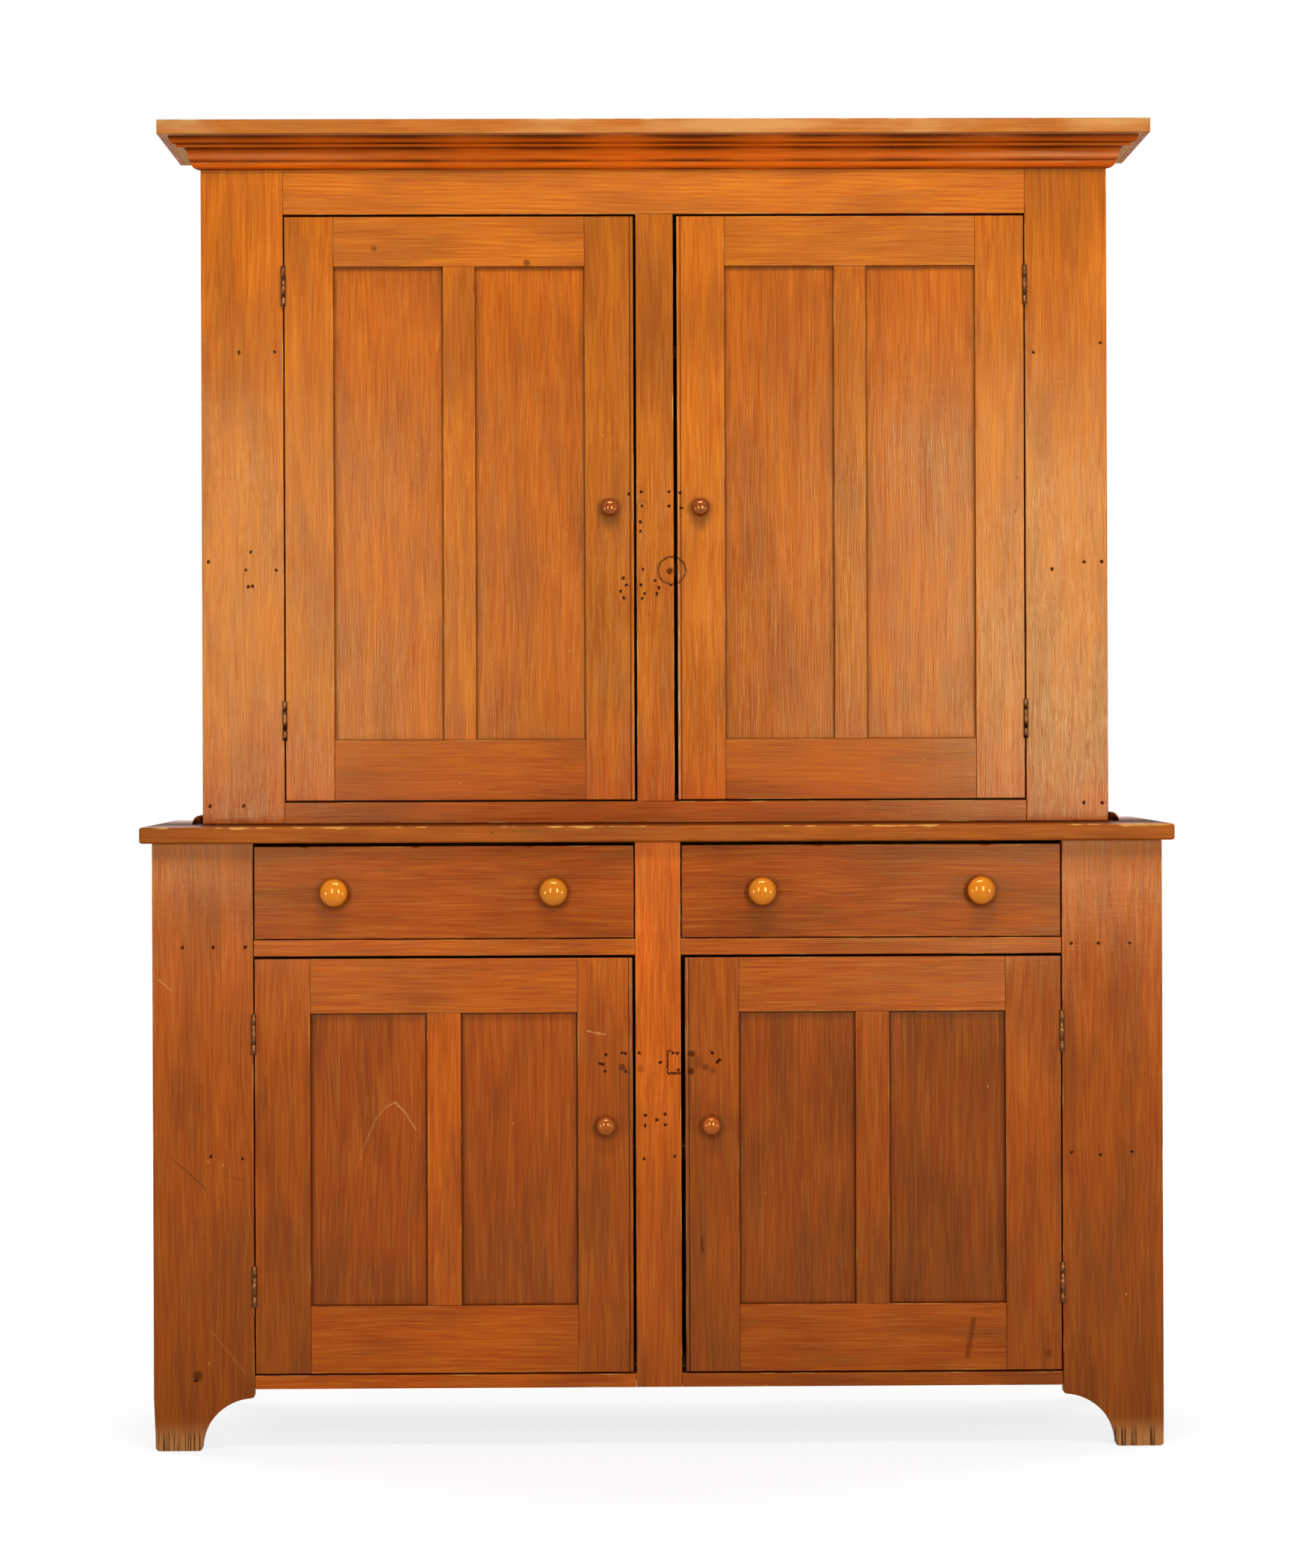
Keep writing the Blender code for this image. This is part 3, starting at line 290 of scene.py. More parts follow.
def stain_wood(tree, at, colour, stain, stain_share, fibre_mm):
    """The colour with clouds, pores and the board's own tone; and the broad patches of that tone."""
    cloud = streaks(tree, at["bent"], 20.0, 4.4, 3.0, 0.55)["Fac"]  # about 50 by 230 mm
    cloud = add(tree, RANGE, {"Value": cloud, "From Min": 0.42, "From Max": 0.68, "To Max": stain_share},
                interpolation_type="SMOOTHSTEP")[0]
    colour = add(tree, MIX, {0: cloud, 6: colour, 7: linear(stain)}, data_type="RGBA")[2]
    fleck = streaks(tree, at["bent"], 1000.0 / fibre_mm / PORE, 9.0, 2.0)["Fac"]
    fleck = add(tree, RANGE, {"Value": fleck, "From Min": 0.48, "From Max": 0.78, "To Max": 0.2})[0]
    colour = add(tree, MIX, {0: fleck, 6: colour, 7: DRY_PORE}, data_type="RGBA")[2]
    patch = add(tree, NOISE, {"Vector": at["place"], "Scale": 5.0, "Detail": 2.0})["Fac"]  # about 200 mm
    own = add(tree, NOISE, {"Vector": at["seed"], "Scale": 3.0, "Detail": 0.0})["Fac"]
    tone = add(tree, MATH, {0: patch, 1: own}, operation="ADD")[0]
    tone = add(tree, RANGE, {"Value": tone, "From Min": 0.6, "From Max": 1.4, **TONES})[0]
    ends = add(tree, VECTOR, {0: at["board"], 1: at["half"]}, operation="DIVIDE")[0]
    ends = add(tree, SPLIT, {0: ends})[2]
    shade = add(tree, RANGE, {"Value": ends, "From Min": -1.0, "To Min": at["make"][0],
                              "To Max": at["make"][1]})[0]
    tone = add(tree, MATH, {0: tone, 1: shade}, operation="ADD")[0]
    return add(tree, VECTOR, {0: colour, "Scale": tone}, operation="SCALE")[0], patch


print("stain: tones from", TONES["To Min"], "to", TONES["To Max"])

# %% [markdown]
# Then a century of use. Long edges are rubbed to bare wood in broken stretches, and the varnish has
# small pale chips and dark pits. On panels a haze and a dark line stay along the frame: dirt, where a
# cloth never reaches, and painted shade of the frame's edge. Other dirt, and painted shade in hollows and
# gaps, is kept by the pieces themselves, where another board is close.

# %% Wear and dirt
SPECK_CELLS = (40.0, 40.0, 26.0)  # cells in a metre, each with one speck at most
PITS = 0.94                   # share of the cells that have no dark pit
SPECK = 0.5                   # how strong chips and pits are,
KEPT_DIRT_AND_SHADE = 0.85                   # and the dirt and painted shade that a piece keeps
PANEL_TONGUE = 0.009          # metres of a panel that are hidden in the grooves of its frame
HAZE = 0.3                    # how strong the haze is beside the dark line,
HAZE_REACH = (0.012, 0.028)   # and metres from the panel's edge to where it ends


def wear_board(tree, at, wear_share, rub_mm, chips, grime_and_shade, rub_top, bare_under):
    """How far the wood is bared, and how dirty it is."""
    depth = add(tree, VECTOR, {0: at["board"]}, operation="ABSOLUTE")[0]
    depth = add(tree, VECTOR, {0: at["half"], 1: depth}, operation="SUBTRACT")[0]
    across, through, along = add(tree, SPLIT, {0: depth})
    long_edge = add(tree, MATH, {0: across, 1: through}, operation="MAXIMUM")[0]
    edge = add(tree, MATH, {0: long_edge, 1: along}, operation="MINIMUM")[0]
    side = add(tree, SPLIT, {0: at["board"]})[1]

    # Bare stretches of an edge are up to about 75 mm long.
    rub = add(tree, NOISE, {"Vector": at["place"], "Scale": 13.0, "Detail": 3.0, "Roughness": 0.6})["Fac"]
    rub = add(tree, RANGE, {"Value": rub, "From Min": 0.47, "From Max": 0.68, "To Max": rub_mm / 1000.0})[0]
    bared = add(tree, MATH, {0: rub, 1: long_edge}, operation="SUBTRACT")[0]
    bared = add(tree, RANGE, {"Value": bared, "From Max": 0.0009, "To Max": wear_share})[0]
    if rub_top:
        above = add(tree, MATH, {0: side, 1: 0.0}, operation="GREATER_THAN")[0]
        bared = add(tree, MATH, {0: bared, 1: above}, operation="MULTIPLY")[0]

    cells = add(tree, VECTOR, {0: at["place"], 1: SPECK_CELLS}, operation="MULTIPLY")[0]
    cell = add(tree, "ShaderNodeTexVoronoi", {"Vector": cells, "Scale": 1.0, "Randomness": 1.0})
    near = add(tree, RANGE, {"Value": cell["Distance"], "From Min": 0.07, "From Max": 0.035})[0]
    chance_of = add(tree, SPLIT, {0: cell["Color"]})
    specks = []
    for value, rare in ((chance_of[0], chips), (chance_of[1], PITS)):
        chosen = add(tree, MATH, {0: value, 1: rare}, operation="GREATER_THAN")[0]
        chosen = add(tree, MATH, {0: near, 1: chosen}, operation="MULTIPLY")[0]
        specks.append(add(tree, MATH, {0: chosen, 1: SPECK}, operation="MULTIPLY")[0])
    bared = add(tree, MATH, {0: bared, 1: specks[0]}, operation="MAXIMUM")[0]
    # The dirt and painted shade that each piece keeps at its points.
    soil_and_shade = add(tree, "ShaderNodeAttribute", attribute_name="dirt_and_shade")["Fac"]
    dirt_and_shade_mask = add(tree, MATH, {0: soil_and_shade, 1: KEPT_DIRT_AND_SHADE}, operation="MULTIPLY")[0]
    dirt_and_shade_mask = add(tree, MATH, {0: specks[1], 1: dirt_and_shade_mask}, operation="MAXIMUM")[0]

    # A haze and a dark line along a panel's frame: dirt and painted shade of the frame's edge.
    if grime_and_shade:
        haze_spread = add(tree, NOISE, {"Vector": at["place"], "Scale": 9.0, "Detail": 2.0})["Fac"]
        haze_spread = add(tree, RANGE, {"Value": haze_spread, "From Min": 0.3, "From Max": 0.7, "To Min": HAZE_REACH[0],
                                  "To Max": HAZE_REACH[1]})[0]
        haze = add(tree, RANGE, {"Value": edge, "From Min": haze_spread, "From Max": PANEL_TONGUE,
                                 "To Max": HAZE * grime_and_shade}, interpolation_type="SMOOTHSTEP")[0]
        line = add(tree, RANGE, {"Value": edge, "From Min": 0.0110, "From Max": 0.0101, "To Max": grime_and_shade})[0]
        for more in (haze, line):
            dirt_and_shade_mask = add(tree, MATH, {0: dirt_and_shade_mask, 1: more}, operation="MAXIMUM")[0]
    if bare_under:
        below = add(tree, MATH, {0: side, 1: 0.0}, operation="LESS_THAN")[0]
        flat = add(tree, MATH, {0: through, 1: 0.0002}, operation="LESS_THAN")[0]
        inside = add(tree, RANGE, {"Value": edge, "From Min": 0.008, "From Max": 0.011})[0]
        under = add(tree, MATH, {0: below, 1: flat}, operation="MULTIPLY")[0]
        under = add(tree, MATH, {0: under, 1: inside}, operation="MULTIPLY")[0]
        bared = add(tree, MATH, {0: bared, 1: under}, operation="MAXIMUM")[0]
    return bared, dirt_and_shade_mask


print("wear: one speck at most in", [round(1000 / cells) for cells in SPECK_CELLS], "mm")

# %% [markdown]
# Single marks are listed, in millimetres on the front of the cupboard at rest: round spots and hoops,
# dark cuts and pale scratches. Painting them into a picture would be easier, but a few distances
# do as well and stay sharp. Their outlines are shaken, so that none is a neat disc. The feet have gone
# grey from wet floors, and have cracked along the grain.

# %% Old marks
SHAKE = (0.006, 0.0, 0.007)   # metres that an outline is shaken
TO_MM = (1000.0, 0.0, 1000.0)
FOOT_GREY = linear("B87A44")


def rest_mm(tree):
    """Where a point is on the front at rest, shaken a little."""
    rest = add(tree, "ShaderNodeTexCoord")["Object"]
    shake = add(tree, NOISE, {"Vector": rest, "Scale": 400.0, "Detail": 2.0})["Color"]
    shake = add(tree, VECTOR, {0: shake, 1: MIDDLE}, operation="SUBTRACT")[0]
    rest = add(tree, VECTOR, {0: shake, 1: SHAKE, 2: rest}, operation="MULTIPLY_ADD")[0]
    return add(tree, VECTOR, {0: rest, 1: TO_MM}, operation="MULTIPLY")[0]


def round_marks(tree, rest, dirt_and_shade_mask, spots, hoops):
    """Add spots (x, z, radius, soft rim, strength) and hoops (x, z, radius, width, strength) to the dirt."""
    for x, z, radius, soft, strength in spots:
        away = add(tree, VECTOR, {0: rest, 1: (x, 0.0, z)}, operation="DISTANCE")["Value"]
        mark = add(tree, RANGE, {"Value": away, "From Min": radius + soft, "From Max": radius,
                                 "To Max": strength}, interpolation_type="SMOOTHSTEP")[0]
        dirt_and_shade_mask = add(tree, MATH, {0: dirt_and_shade_mask, 1: mark}, operation="MAXIMUM")[0]
    for x, z, radius, width, strength in hoops:
        away = add(tree, VECTOR, {0: rest, 1: (x, 0.0, z)}, operation="DISTANCE")["Value"]
        away = add(tree, MATH, {0: away, 1: radius}, operation="SUBTRACT")[0]
        away = add(tree, MATH, {0: away}, operation="ABSOLUTE")[0]
        mark = add(tree, RANGE, {"Value": away, "From Min": width, "From Max": 0.0, "To Max": strength})[0]
        dirt_and_shade_mask = add(tree, MATH, {0: dirt_and_shade_mask, 1: mark}, operation="MAXIMUM")[0]
    return dirt_and_shade_mask


def line_marks(tree, rest, marked, lines):
    """Add straight marks (x and z of both ends, width, strength) to what is marked already."""
    for x0, z0, x1, z1, width, strength in lines:
        run = Vector((x1 - x0, 0.0, z1 - z0))
        start = add(tree, VECTOR, {0: rest, 1: (x0, 0.0, z0)}, operation="SUBTRACT")[0]
        share = add(tree, VECTOR, {0: start, 1: run / run.length_squared}, operation="DOT_PRODUCT")["Value"]
        share = add(tree, MATH, {0: share, 1: 0.0}, operation="ADD", use_clamp=True)[0]
        nearest = add(tree, VECTOR, {0: run, "Scale": share}, operation="SCALE")[0]
        away = add(tree, VECTOR, {0: start, 1: nearest}, operation="DISTANCE")["Value"]
        mark = add(tree, RANGE, {"Value": away, "From Min": width, "From Max": width / 3,
                                 "To Max": strength})[0]
        marked = add(tree, MATH, {0: marked, 1: mark}, operation="MAXIMUM")[0]
    return marked


def age_feet(tree, at, height, colour, dirt_and_shade_mask):
    """The colour and the dirt with grey, cracked feet."""
    damp = add(tree, RANGE, {"Value": height, "From Min": 52.0, "From Max": 8.0, "To Max": 0.85},
               interpolation_type="SMOOTHSTEP")[0]
    colour = add(tree, MIX, {0: damp, 6: colour, 7: FOOT_GREY}, data_type="RGBA")[2]
    crack = streaks(tree, at["place"], 380.0, 8.0, 1.0)["Fac"]  # about 2.6 mm apart
    crack = add(tree, RANGE, {"Value": crack, "From Min": 0.52, "From Max": 0.62})[0]
    low_down = add(tree, RANGE, {"Value": height, "From Min": 36.0, "From Max": 22.0, "To Max": 0.9})[0]
    crack = add(tree, MATH, {0: crack, 1: low_down}, operation="MULTIPLY")[0]
    return colour, add(tree, MATH, {0: dirt_and_shade_mask, 1: crack}, operation="MAXIMUM")[0]


print("marks: outlines shaken by up to", 500 * max(SHAKE), "mm")

# %% [markdown]
# The varnish comes last. Its satin gloss changes with patches and fibres, and old shellac tints what it
# reflects with amber. Rails, which lie across the light, are duller; so are bare places, and dirt and
# painted shade do not shine. Shallow waves and fine chatter from a hand plane, raised fibres and pits
# break up the gloss.
#
# The last function puts the five steps together into one material.

# %% Varnish
GLOSS_SPREAD = 0.05           # how far the roughness changes from patch to patch
ROUGHER = {"fibre": 0.10, "figure": 0.6, "dull": 0.3}


def varnish(tree, at, patch, fibre, bared, dirt_and_shade_mask, gloss, shine, amber, relief):
    """Set the gloss and the relief of the surface."""
    shader = tree.nodes["Principled BSDF"]
    dull = add(tree, MATH, {0: bared, 1: dirt_and_shade_mask}, operation="MAXIMUM")[0]
    rough = add(tree, RANGE, {"Value": patch, "From Min": 0.3, "From Max": 0.7,
                              "To Min": gloss - GLOSS_SPREAD, "To Max": gloss + GLOSS_SPREAD})[0]
    for value, label in ((fibre, "fibre"), (at["make"][2], "figure"), (dull, "dull")):
        rough = add(tree, MATH, {0: value, 1: ROUGHER[label], 2: rough}, operation="MULTIPLY_ADD")[0]
    tree.links.new(rough, shader.inputs["Roughness"])
    mirror = add(tree, RANGE, {"Value": dirt_and_shade_mask, "To Min": shine, "To Max": 0.0})[0]
    tree.links.new(mirror, shader.inputs["Specular IOR Level"])
    shader.inputs["Specular Tint"].default_value = linear(amber)

    wave = streaks(tree, at["place"], 28.0, 5.0, 2.0)["Fac"]  # as wide as a plane iron's cut, 36 mm
    chatter = streaks(tree, at["place"], 24.0, 210.0, 1.0)["Fac"]  # ripples 5 mm apart
    layers = ((wave, 0.6, 0.0012), (chatter, 0.25, 0.0003), (fibre, 0.35, 0.0003), (dull, 0.5, 0.0005))
    below = {}
    for height, strength, distance in layers:
        bump = add(tree, "ShaderNodeBump", {"Height": height, "Strength": strength * relief,
                                            "Distance": distance, **below}, invert=height is dull)
        below = {"Normal": bump[0]}
    tree.links.new(below["Normal"], shader.inputs["Normal"])


def pine(name, light, dark, stain, bare="DCA050", dirt_and_shade="2C1008", gloss=0.15, streak_mm=10.0, fibre_mm=2.0,
         ring_mm=7.0, ring_share=0.1, stain_share=0.52, wear_share=0.6, rub_mm=2.2, chips=0.93, grime_and_shade=0.0,
         rub_top=False, bare_under=False, low_tint_and_shade=None, feet=False, spots=(), cuts_and_shadow=(), scratches=(),
         hoops=(), shine=0.27, amber="FFF7B4", relief=1.0):
    """Stained wood under old shellac. The low tint is two heights in mm and a colour that the wood is
    multiplied by from the lower one down: a tint on the upper case, painted shade towards the floor on the
    lower case.
    """
    material = bpy.data.materials.new(name)
    material.use_nodes = True
    tree = material.node_tree
    at = read_board(tree)
    grain, fibre = draw_grain(tree, at, streak_mm, fibre_mm, ring_mm, ring_share)
    colour = add(tree, MIX, {0: grain, 6: linear(dark), 7: linear(light)}, data_type="RGBA")[2]
    colour, patch = stain_wood(tree, at, colour, stain, stain_share, fibre_mm)
    bared, dirt_and_shade_mask = wear_board(tree, at, wear_share, rub_mm, chips, grime_and_shade, rub_top, bare_under)
    rest = rest_mm(tree)
    dirt_and_shade_mask = round_marks(tree, rest, dirt_and_shade_mask, spots, hoops)
    dirt_and_shade_mask = line_marks(tree, rest, dirt_and_shade_mask, cuts_and_shadow)
    bared = line_marks(tree, rest, bared, scratches)
    height = add(tree, SPLIT, {0: rest})[2]
    if low_tint_and_shade:
        lowest, highest, tint = low_tint_and_shade
        sink = add(tree, RANGE, {"Value": height, "From Min": lowest, "From Max": highest})[0]
        sink = add(tree, MIX, {0: sink, 6: linear(tint), 7: WHITE}, data_type="RGBA")[2]
        colour = add(tree, VECTOR, {0: colour, 1: sink}, operation="MULTIPLY")[0]
    if feet:
        colour, dirt_and_shade_mask = age_feet(tree, at, height, colour, dirt_and_shade_mask)
    colour = add(tree, MIX, {0: bared, 6: colour, 7: linear(bare)}, data_type="RGBA")[2]
    colour = add(tree, MIX, {0: dirt_and_shade_mask, 6: colour, 7: linear(dirt_and_shade)}, data_type="RGBA")[2]
    tree.links.new(colour, tree.nodes["Principled BSDF"].inputs["Base Color"])
    varnish(tree, at, patch, fibre, bared, dirt_and_shade_mask, gloss, shine, amber, relief)
    return material


print("varnish: roughness changes by", GLOSS_SPREAD, "from patch to patch")

# %% [markdown]
# ## Marks on the fronts
# Lost latches and locks left nail holes, outlines and stains, and the knobs are ringed with the dirt of
# many hands and a painted shadow. Each mark is given by its place on the front in millimetres, its size and
# how dark it is.

# %% Marks on the fronts
NAIL = (1.9, 1.5, 0.95)       # radius, soft rim and strength of a nail hole
KNOB_HALO = (14.0, 12.0, 0.30)     # the same for the hand dirt and painted shadow round a door knob
UPPER_CENTRE_HOLES = [(-22, 1508), (23, 1508), (-21, 1485), (23, 1485), (-24, 1459), (-24, 1444), (-20, 1383),
                      (-23, 1358), (-17, 1344), (-21, 1336), (0, 1365), (6, 1353), (3, 1343), (25, 1358)]
UPPER_STILE_HOLES = [(-651, 1413), (-659, 1384), (-655, 1357), (-648, 1358), (-719, 1397), (-610, 1384),
                     (-668, 1734), (-611, 1735), (-718, 1004), (-664, 1004), (692, 1393), (720, 1393),
                     (640, 1381), (611, 1731), (719, 1746), (690, 1004), (720, 1004)]
UPPER_DOOR_HOLES = [(-42, 1505), (41, 1506), (42, 1482), (-52, 1369), (-47, 1358), (-56, 1348), (-51, 1337)]
LOWER_CENTRE_HOLES = [(-30, 619), (3, 604), (23, 619), (30, 618), (31, 592), (-21, 521), (-21, 505),
                      (-3, 514), (10, 523), (11, 506), (-23, 453), (25, 457)]
LOWER_STILE_HOLES = [(-743, 787), (-695, 787), (-645, 787), (692, 456), (741, 460), (647, 460), (-700, 460),
                     (-650, 456), (739, 787), (690, 787), (647, 787), (-724, 110)]
LOWER_DOOR_HOLES = [(-82, 616), (-91, 602), (-87, 601), (-84, 590), (-57, 619), (-51, 618), (-51, 590),
                    (84, 619), (95, 607), (92, 604)]
# Painted shadow on the outer stiles under the overhanging ledge: (x and z of both ends, width, strength).
LEDGE_SHADOW = [(-780, 948, -610, 948, 48.0, 0.2), (610, 948, 780, 948, 60.0, 0.25)]
LATCH_STAINS = [(-57, 596, 4.0, 4.0, 0.6), (51.5, 617, 4.0, 3.0, 0.75), (51.2, 590, 4.0, 3.0, 0.75),
                (74, 596, 3.5, 4.0, 0.45), (85, 591, 3.0, 4.0, 0.4), (60, 604, 6.0, 9.0, 0.3)]


def nails(holes):
    """Dark spots for nail holes."""
    return [(x, z, *NAIL) for x, z in holes]


def hand_dirt_and_shadow(places):
    """Faint spots of hand dirt and painted shadow round knobs."""
    return [(x, z, *KNOB_HALO) for x, z in places]


upper_case_marks = nails(UPPER_CENTRE_HOLES + UPPER_STILE_HOLES) + [(23.2, 1380.0, 4.0, 3.0, 0.8)]
upper_door_marks = nails(UPPER_DOOR_HOLES) + hand_dirt_and_shadow([(-73, 1477), (73, 1477)])
upper_door_marks += [(-451, 1901, 2.0, 5.0, 0.5), (-205, 1877, 3.0, 5.0, 0.6)]
lower_case_marks = nails(LOWER_CENTRE_HOLES + LOWER_STILE_HOLES) + [(-28, 594, 3.0, 4.0, 0.4)]
lower_door_marks = nails(LOWER_DOOR_HOLES) + LATCH_STAINS + hand_dirt_and_shadow([(-82.5, 501), (82.5, 501)])
lower_door_marks += [(610, 145, 3.0, 6.0, 0.35)]
# Hand dirt and painted shadow round the drawer knobs.
drawer_marks = [(x, 869.0, 22.0, 9.0, 0.3) for x in (-505.0, -163.0, 163.0, 505.0)]
print("marks:", sum(map(len, (upper_case_marks, upper_door_marks, lower_case_marks, lower_door_marks))))

# %% [markdown]
# ## One finish for each kind of piece
# All the pieces were stained from the same pot, but they have aged apart. The upper case is palest,
# because it gets the most light and cleaning. The lower case is darker, and towards the floor it is
# darkened further with painted shade. Each finish is the same pine with other tones, so that the parts
# still belong together.

# %% Wood finishes of the cupboard
UPPER_TONES = {"light": "DA7C14", "dark": "A23804", "stain": "984812",
               "low_tint_and_shade": (1000.0, 1180.0, "FCCE95")}
# On the lower case the low tint is painted shade: the wood is darkened towards the floor.
LOWER_TONES = {"light": "C8620E", "dark": "8E2A03", "stain": "82340A", "chips": 0.88,
               "low_tint_and_shade": (0.0, 850.0, "DDDADA")}
KEY_PLATE = (26.8, 1381.0, 22.0, 2.8, 0.9)  # the outline that a lost key plate left
# A long bent scratch, and its width and strength from end to end.
HAIRPIN = [(-473.0, 435.0), (-461.5, 472.6), (-442.6, 516.3), (-426.5, 536.2), (-412.0, 542.5),
           (-398.8, 529.7), (-379.4, 500.4)]
HAIRPIN_WIDTHS = [(0.9, 0.2), (1.0, 0.3), (1.2, 0.4), (1.5, 0.45), (2.2, 0.5), (1.8, 0.45)]
finishes = {
    # Stained and shellacked. Satin, with nail holes and bare, rubbed edges.
    "upper_case_wood": pine("stained_pine_upper_case", **UPPER_TONES, spots=upper_case_marks,
                            hoops=[KEY_PLATE, (-21.0, 1485.0, 9.0, 1.8, 0.45)]),
    # The same, handled more and so cleaner along the edges.
    "upper_door_wood": pine("stained_pine_upper_doors", **UPPER_TONES, spots=upper_door_marks,
                            wear_share=0.4, hoops=[KEY_PLATE]),
    # Wide boards that lie deeper than the frame: no worn edges, but dirt and painted shade along them.
    "upper_panel_wood": pine("stained_pine_upper_panels", light="D47010", dark="983403", stain="924212",
                             grime_and_shade=0.4, wear_share=0.0),
    # Darker and redder, knocked and scratched, with grey feet and painted shade towards the floor.
    "lower_case_wood": pine("stained_pine_lower_case", feet=True, **LOWER_TONES,
                            spots=lower_case_marks + [(-721.0, 118.0, 5.0, 5.0, 0.6)],
                            # The first lines are painted shadow under the ledge; the rest are cuts.
                            cuts_and_shadow=[*LEDGE_SHADOW, (14.5, 587.0, 14.5, 622.0, 2.4, 0.9),
                                  (14.5, 622.0, 20.0, 622.0, 2.2, 0.8), (16.0, 586.6, 33.0, 586.6, 3.0, 0.9),
                                  (-762.0, 459.0, -708.0, 410.0, 1.6, 0.5),
                                  (-680.0, 431.0, -651.0, 422.0, 1.3, 0.4)],
                            scratches=[(-700.0, 188.0, -646.0, 120.0, 0.8, 0.25),
                                       (-780.0, 737.0, -760.0, 720.0, 1.3, 0.45)]),
    "lower_door_wood": pine("stained_pine_lower_doors", **LOWER_TONES, spots=lower_door_marks,
                            wear_share=0.3, scratches=[(-112.0, 654.0, -84.0, 648.0, 1.6, 0.5)],
                            cuts_and_shadow=[(67.4, 330.0, 67.4, 307.0, 1.5, 0.8),
                                  (492.0, 198.0, 482.0, 142.0, 6.0, 0.45)]),
    "lower_panel_wood": pine("stained_pine_lower_panels", light="B6540C", dark="842804", stain="722D08",
                             low_tint_and_shade=LOWER_TONES["low_tint_and_shade"], grime_and_shade=0.55, wear_share=0.0, chips=0.9,
                             scratches=[(*start, *end, *size) for start, end, size
                                        in zip(HAIRPIN, HAIRPIN[1:], HAIRPIN_WIDTHS)]),
    # Sawn flat, so that the growth rings show; duller from pulling hands.
    "drawer_front_wood": pine("stained_pine_drawer_fronts", light="B8540C", dark="802503", stain="722D08",
                              ring_share=0.35, ring_mm=8.0, spots=drawer_marks, wear_share=0.4, gloss=0.26,
                              shine=0.2),
    # A work surface: little varnish is left, and arms have rubbed the front edge bare.
    "waist_wood": pine("stained_pine_waist_top", light="B65E20", dark="8B4010", stain="80421A",
                       wear_share=0.8, rub_mm=5.0, rub_top=True, chips=0.85, shine=0.1, gloss=0.42),
    # Out of reach and dusty: pale, dull, and never stained underneath.
    "cap_wood": pine("stained_pine_cap", light="C47430", dark="9C501C", stain="D2A064", bare="D9B27C",
                     rub_top=True, bare_under=True, wear_share=0.8, rub_mm=3.5, chips=0.85, shine=0.06,
                     gloss=0.5),
    # Planed to a curve. Its strong orange is painted light for faces that turn down, away from the lamp
    # overhead; it lies between dark lines of dirt and painted shade.
    "cornice_wood": pine("stained_pine_cornice_painted_light_and_shade", light="F8740A", dark="D05006", stain="B44A0A",
                         wear_share=0.0, shine=0.12),
    # Bare wood that has only gone brown with air and dust.
    "inner_wood": pine("bare_pine_inside", light="B67C46", dark="945E32", stain="744826", gloss=0.7,
                       stain_share=0.35, wear_share=0.0, shine=0.1),
    "drawer_inner_wood": pine("bare_pine_drawers", light="CD9C62", dark="B07E4A", stain="966636", gloss=0.7,
                              stain_share=0.3, wear_share=0.0, shine=0.1),
}
print("wood finishes:", len(finishes))

# %% [markdown]
# The knobs are a harder, finer wood. They were polished on the lathe and by hands since, so they shine
# far more than the boards, and their grain is small.

# %% Wood finishes of the knobs
KNOB_GRAIN = {"streak_mm": 3.0, "fibre_mm": 1.5, "ring_mm": 4.0, "wear_share": 0.0, "chips": 1.0,
              "relief": 0.04, "gloss": 0.05, "shine": 1.0, "amber": "FFC070"}
KNOB_TONES = {
    "upper_knob_wood": ("varnished_maple_upper_knobs", "9E3C06", "681E03", "581803"),
    "door_knob_wood": ("varnished_maple_lower_knobs", "BA4E03", "8E3602", "7E2E02"),
    "drawer_knob_wood": ("varnished_maple_drawer_knobs", "E88606", "CA6A04", "BE5E04"),
}
for slot, tones in KNOB_TONES.items():
    finishes[slot] = pine(*tones, **KNOB_GRAIN)
print("knob finishes:", len(KNOB_TONES))

# %% [markdown]
# ## Boards
# Every visible piece of wood is a board with its own grain. It could be a bevelled box, but a bevel is
# the same all along. So a board is a section swept along its grain, and the corners of the section are
# rounded by an amount that changes from place to place, which is how hands, cloths and a century of
# knocks leave an edge.
#
# Each point also keeps where it lies in its board (across, through and along the grain), the board's
# half sizes, a number of the board's own, and its make: how light it is at both ends and how much the
# growth rings show. So one finish can draw a different piece of tree on every board.

# %% Pieces from rings of points
chance = random.Random(7)
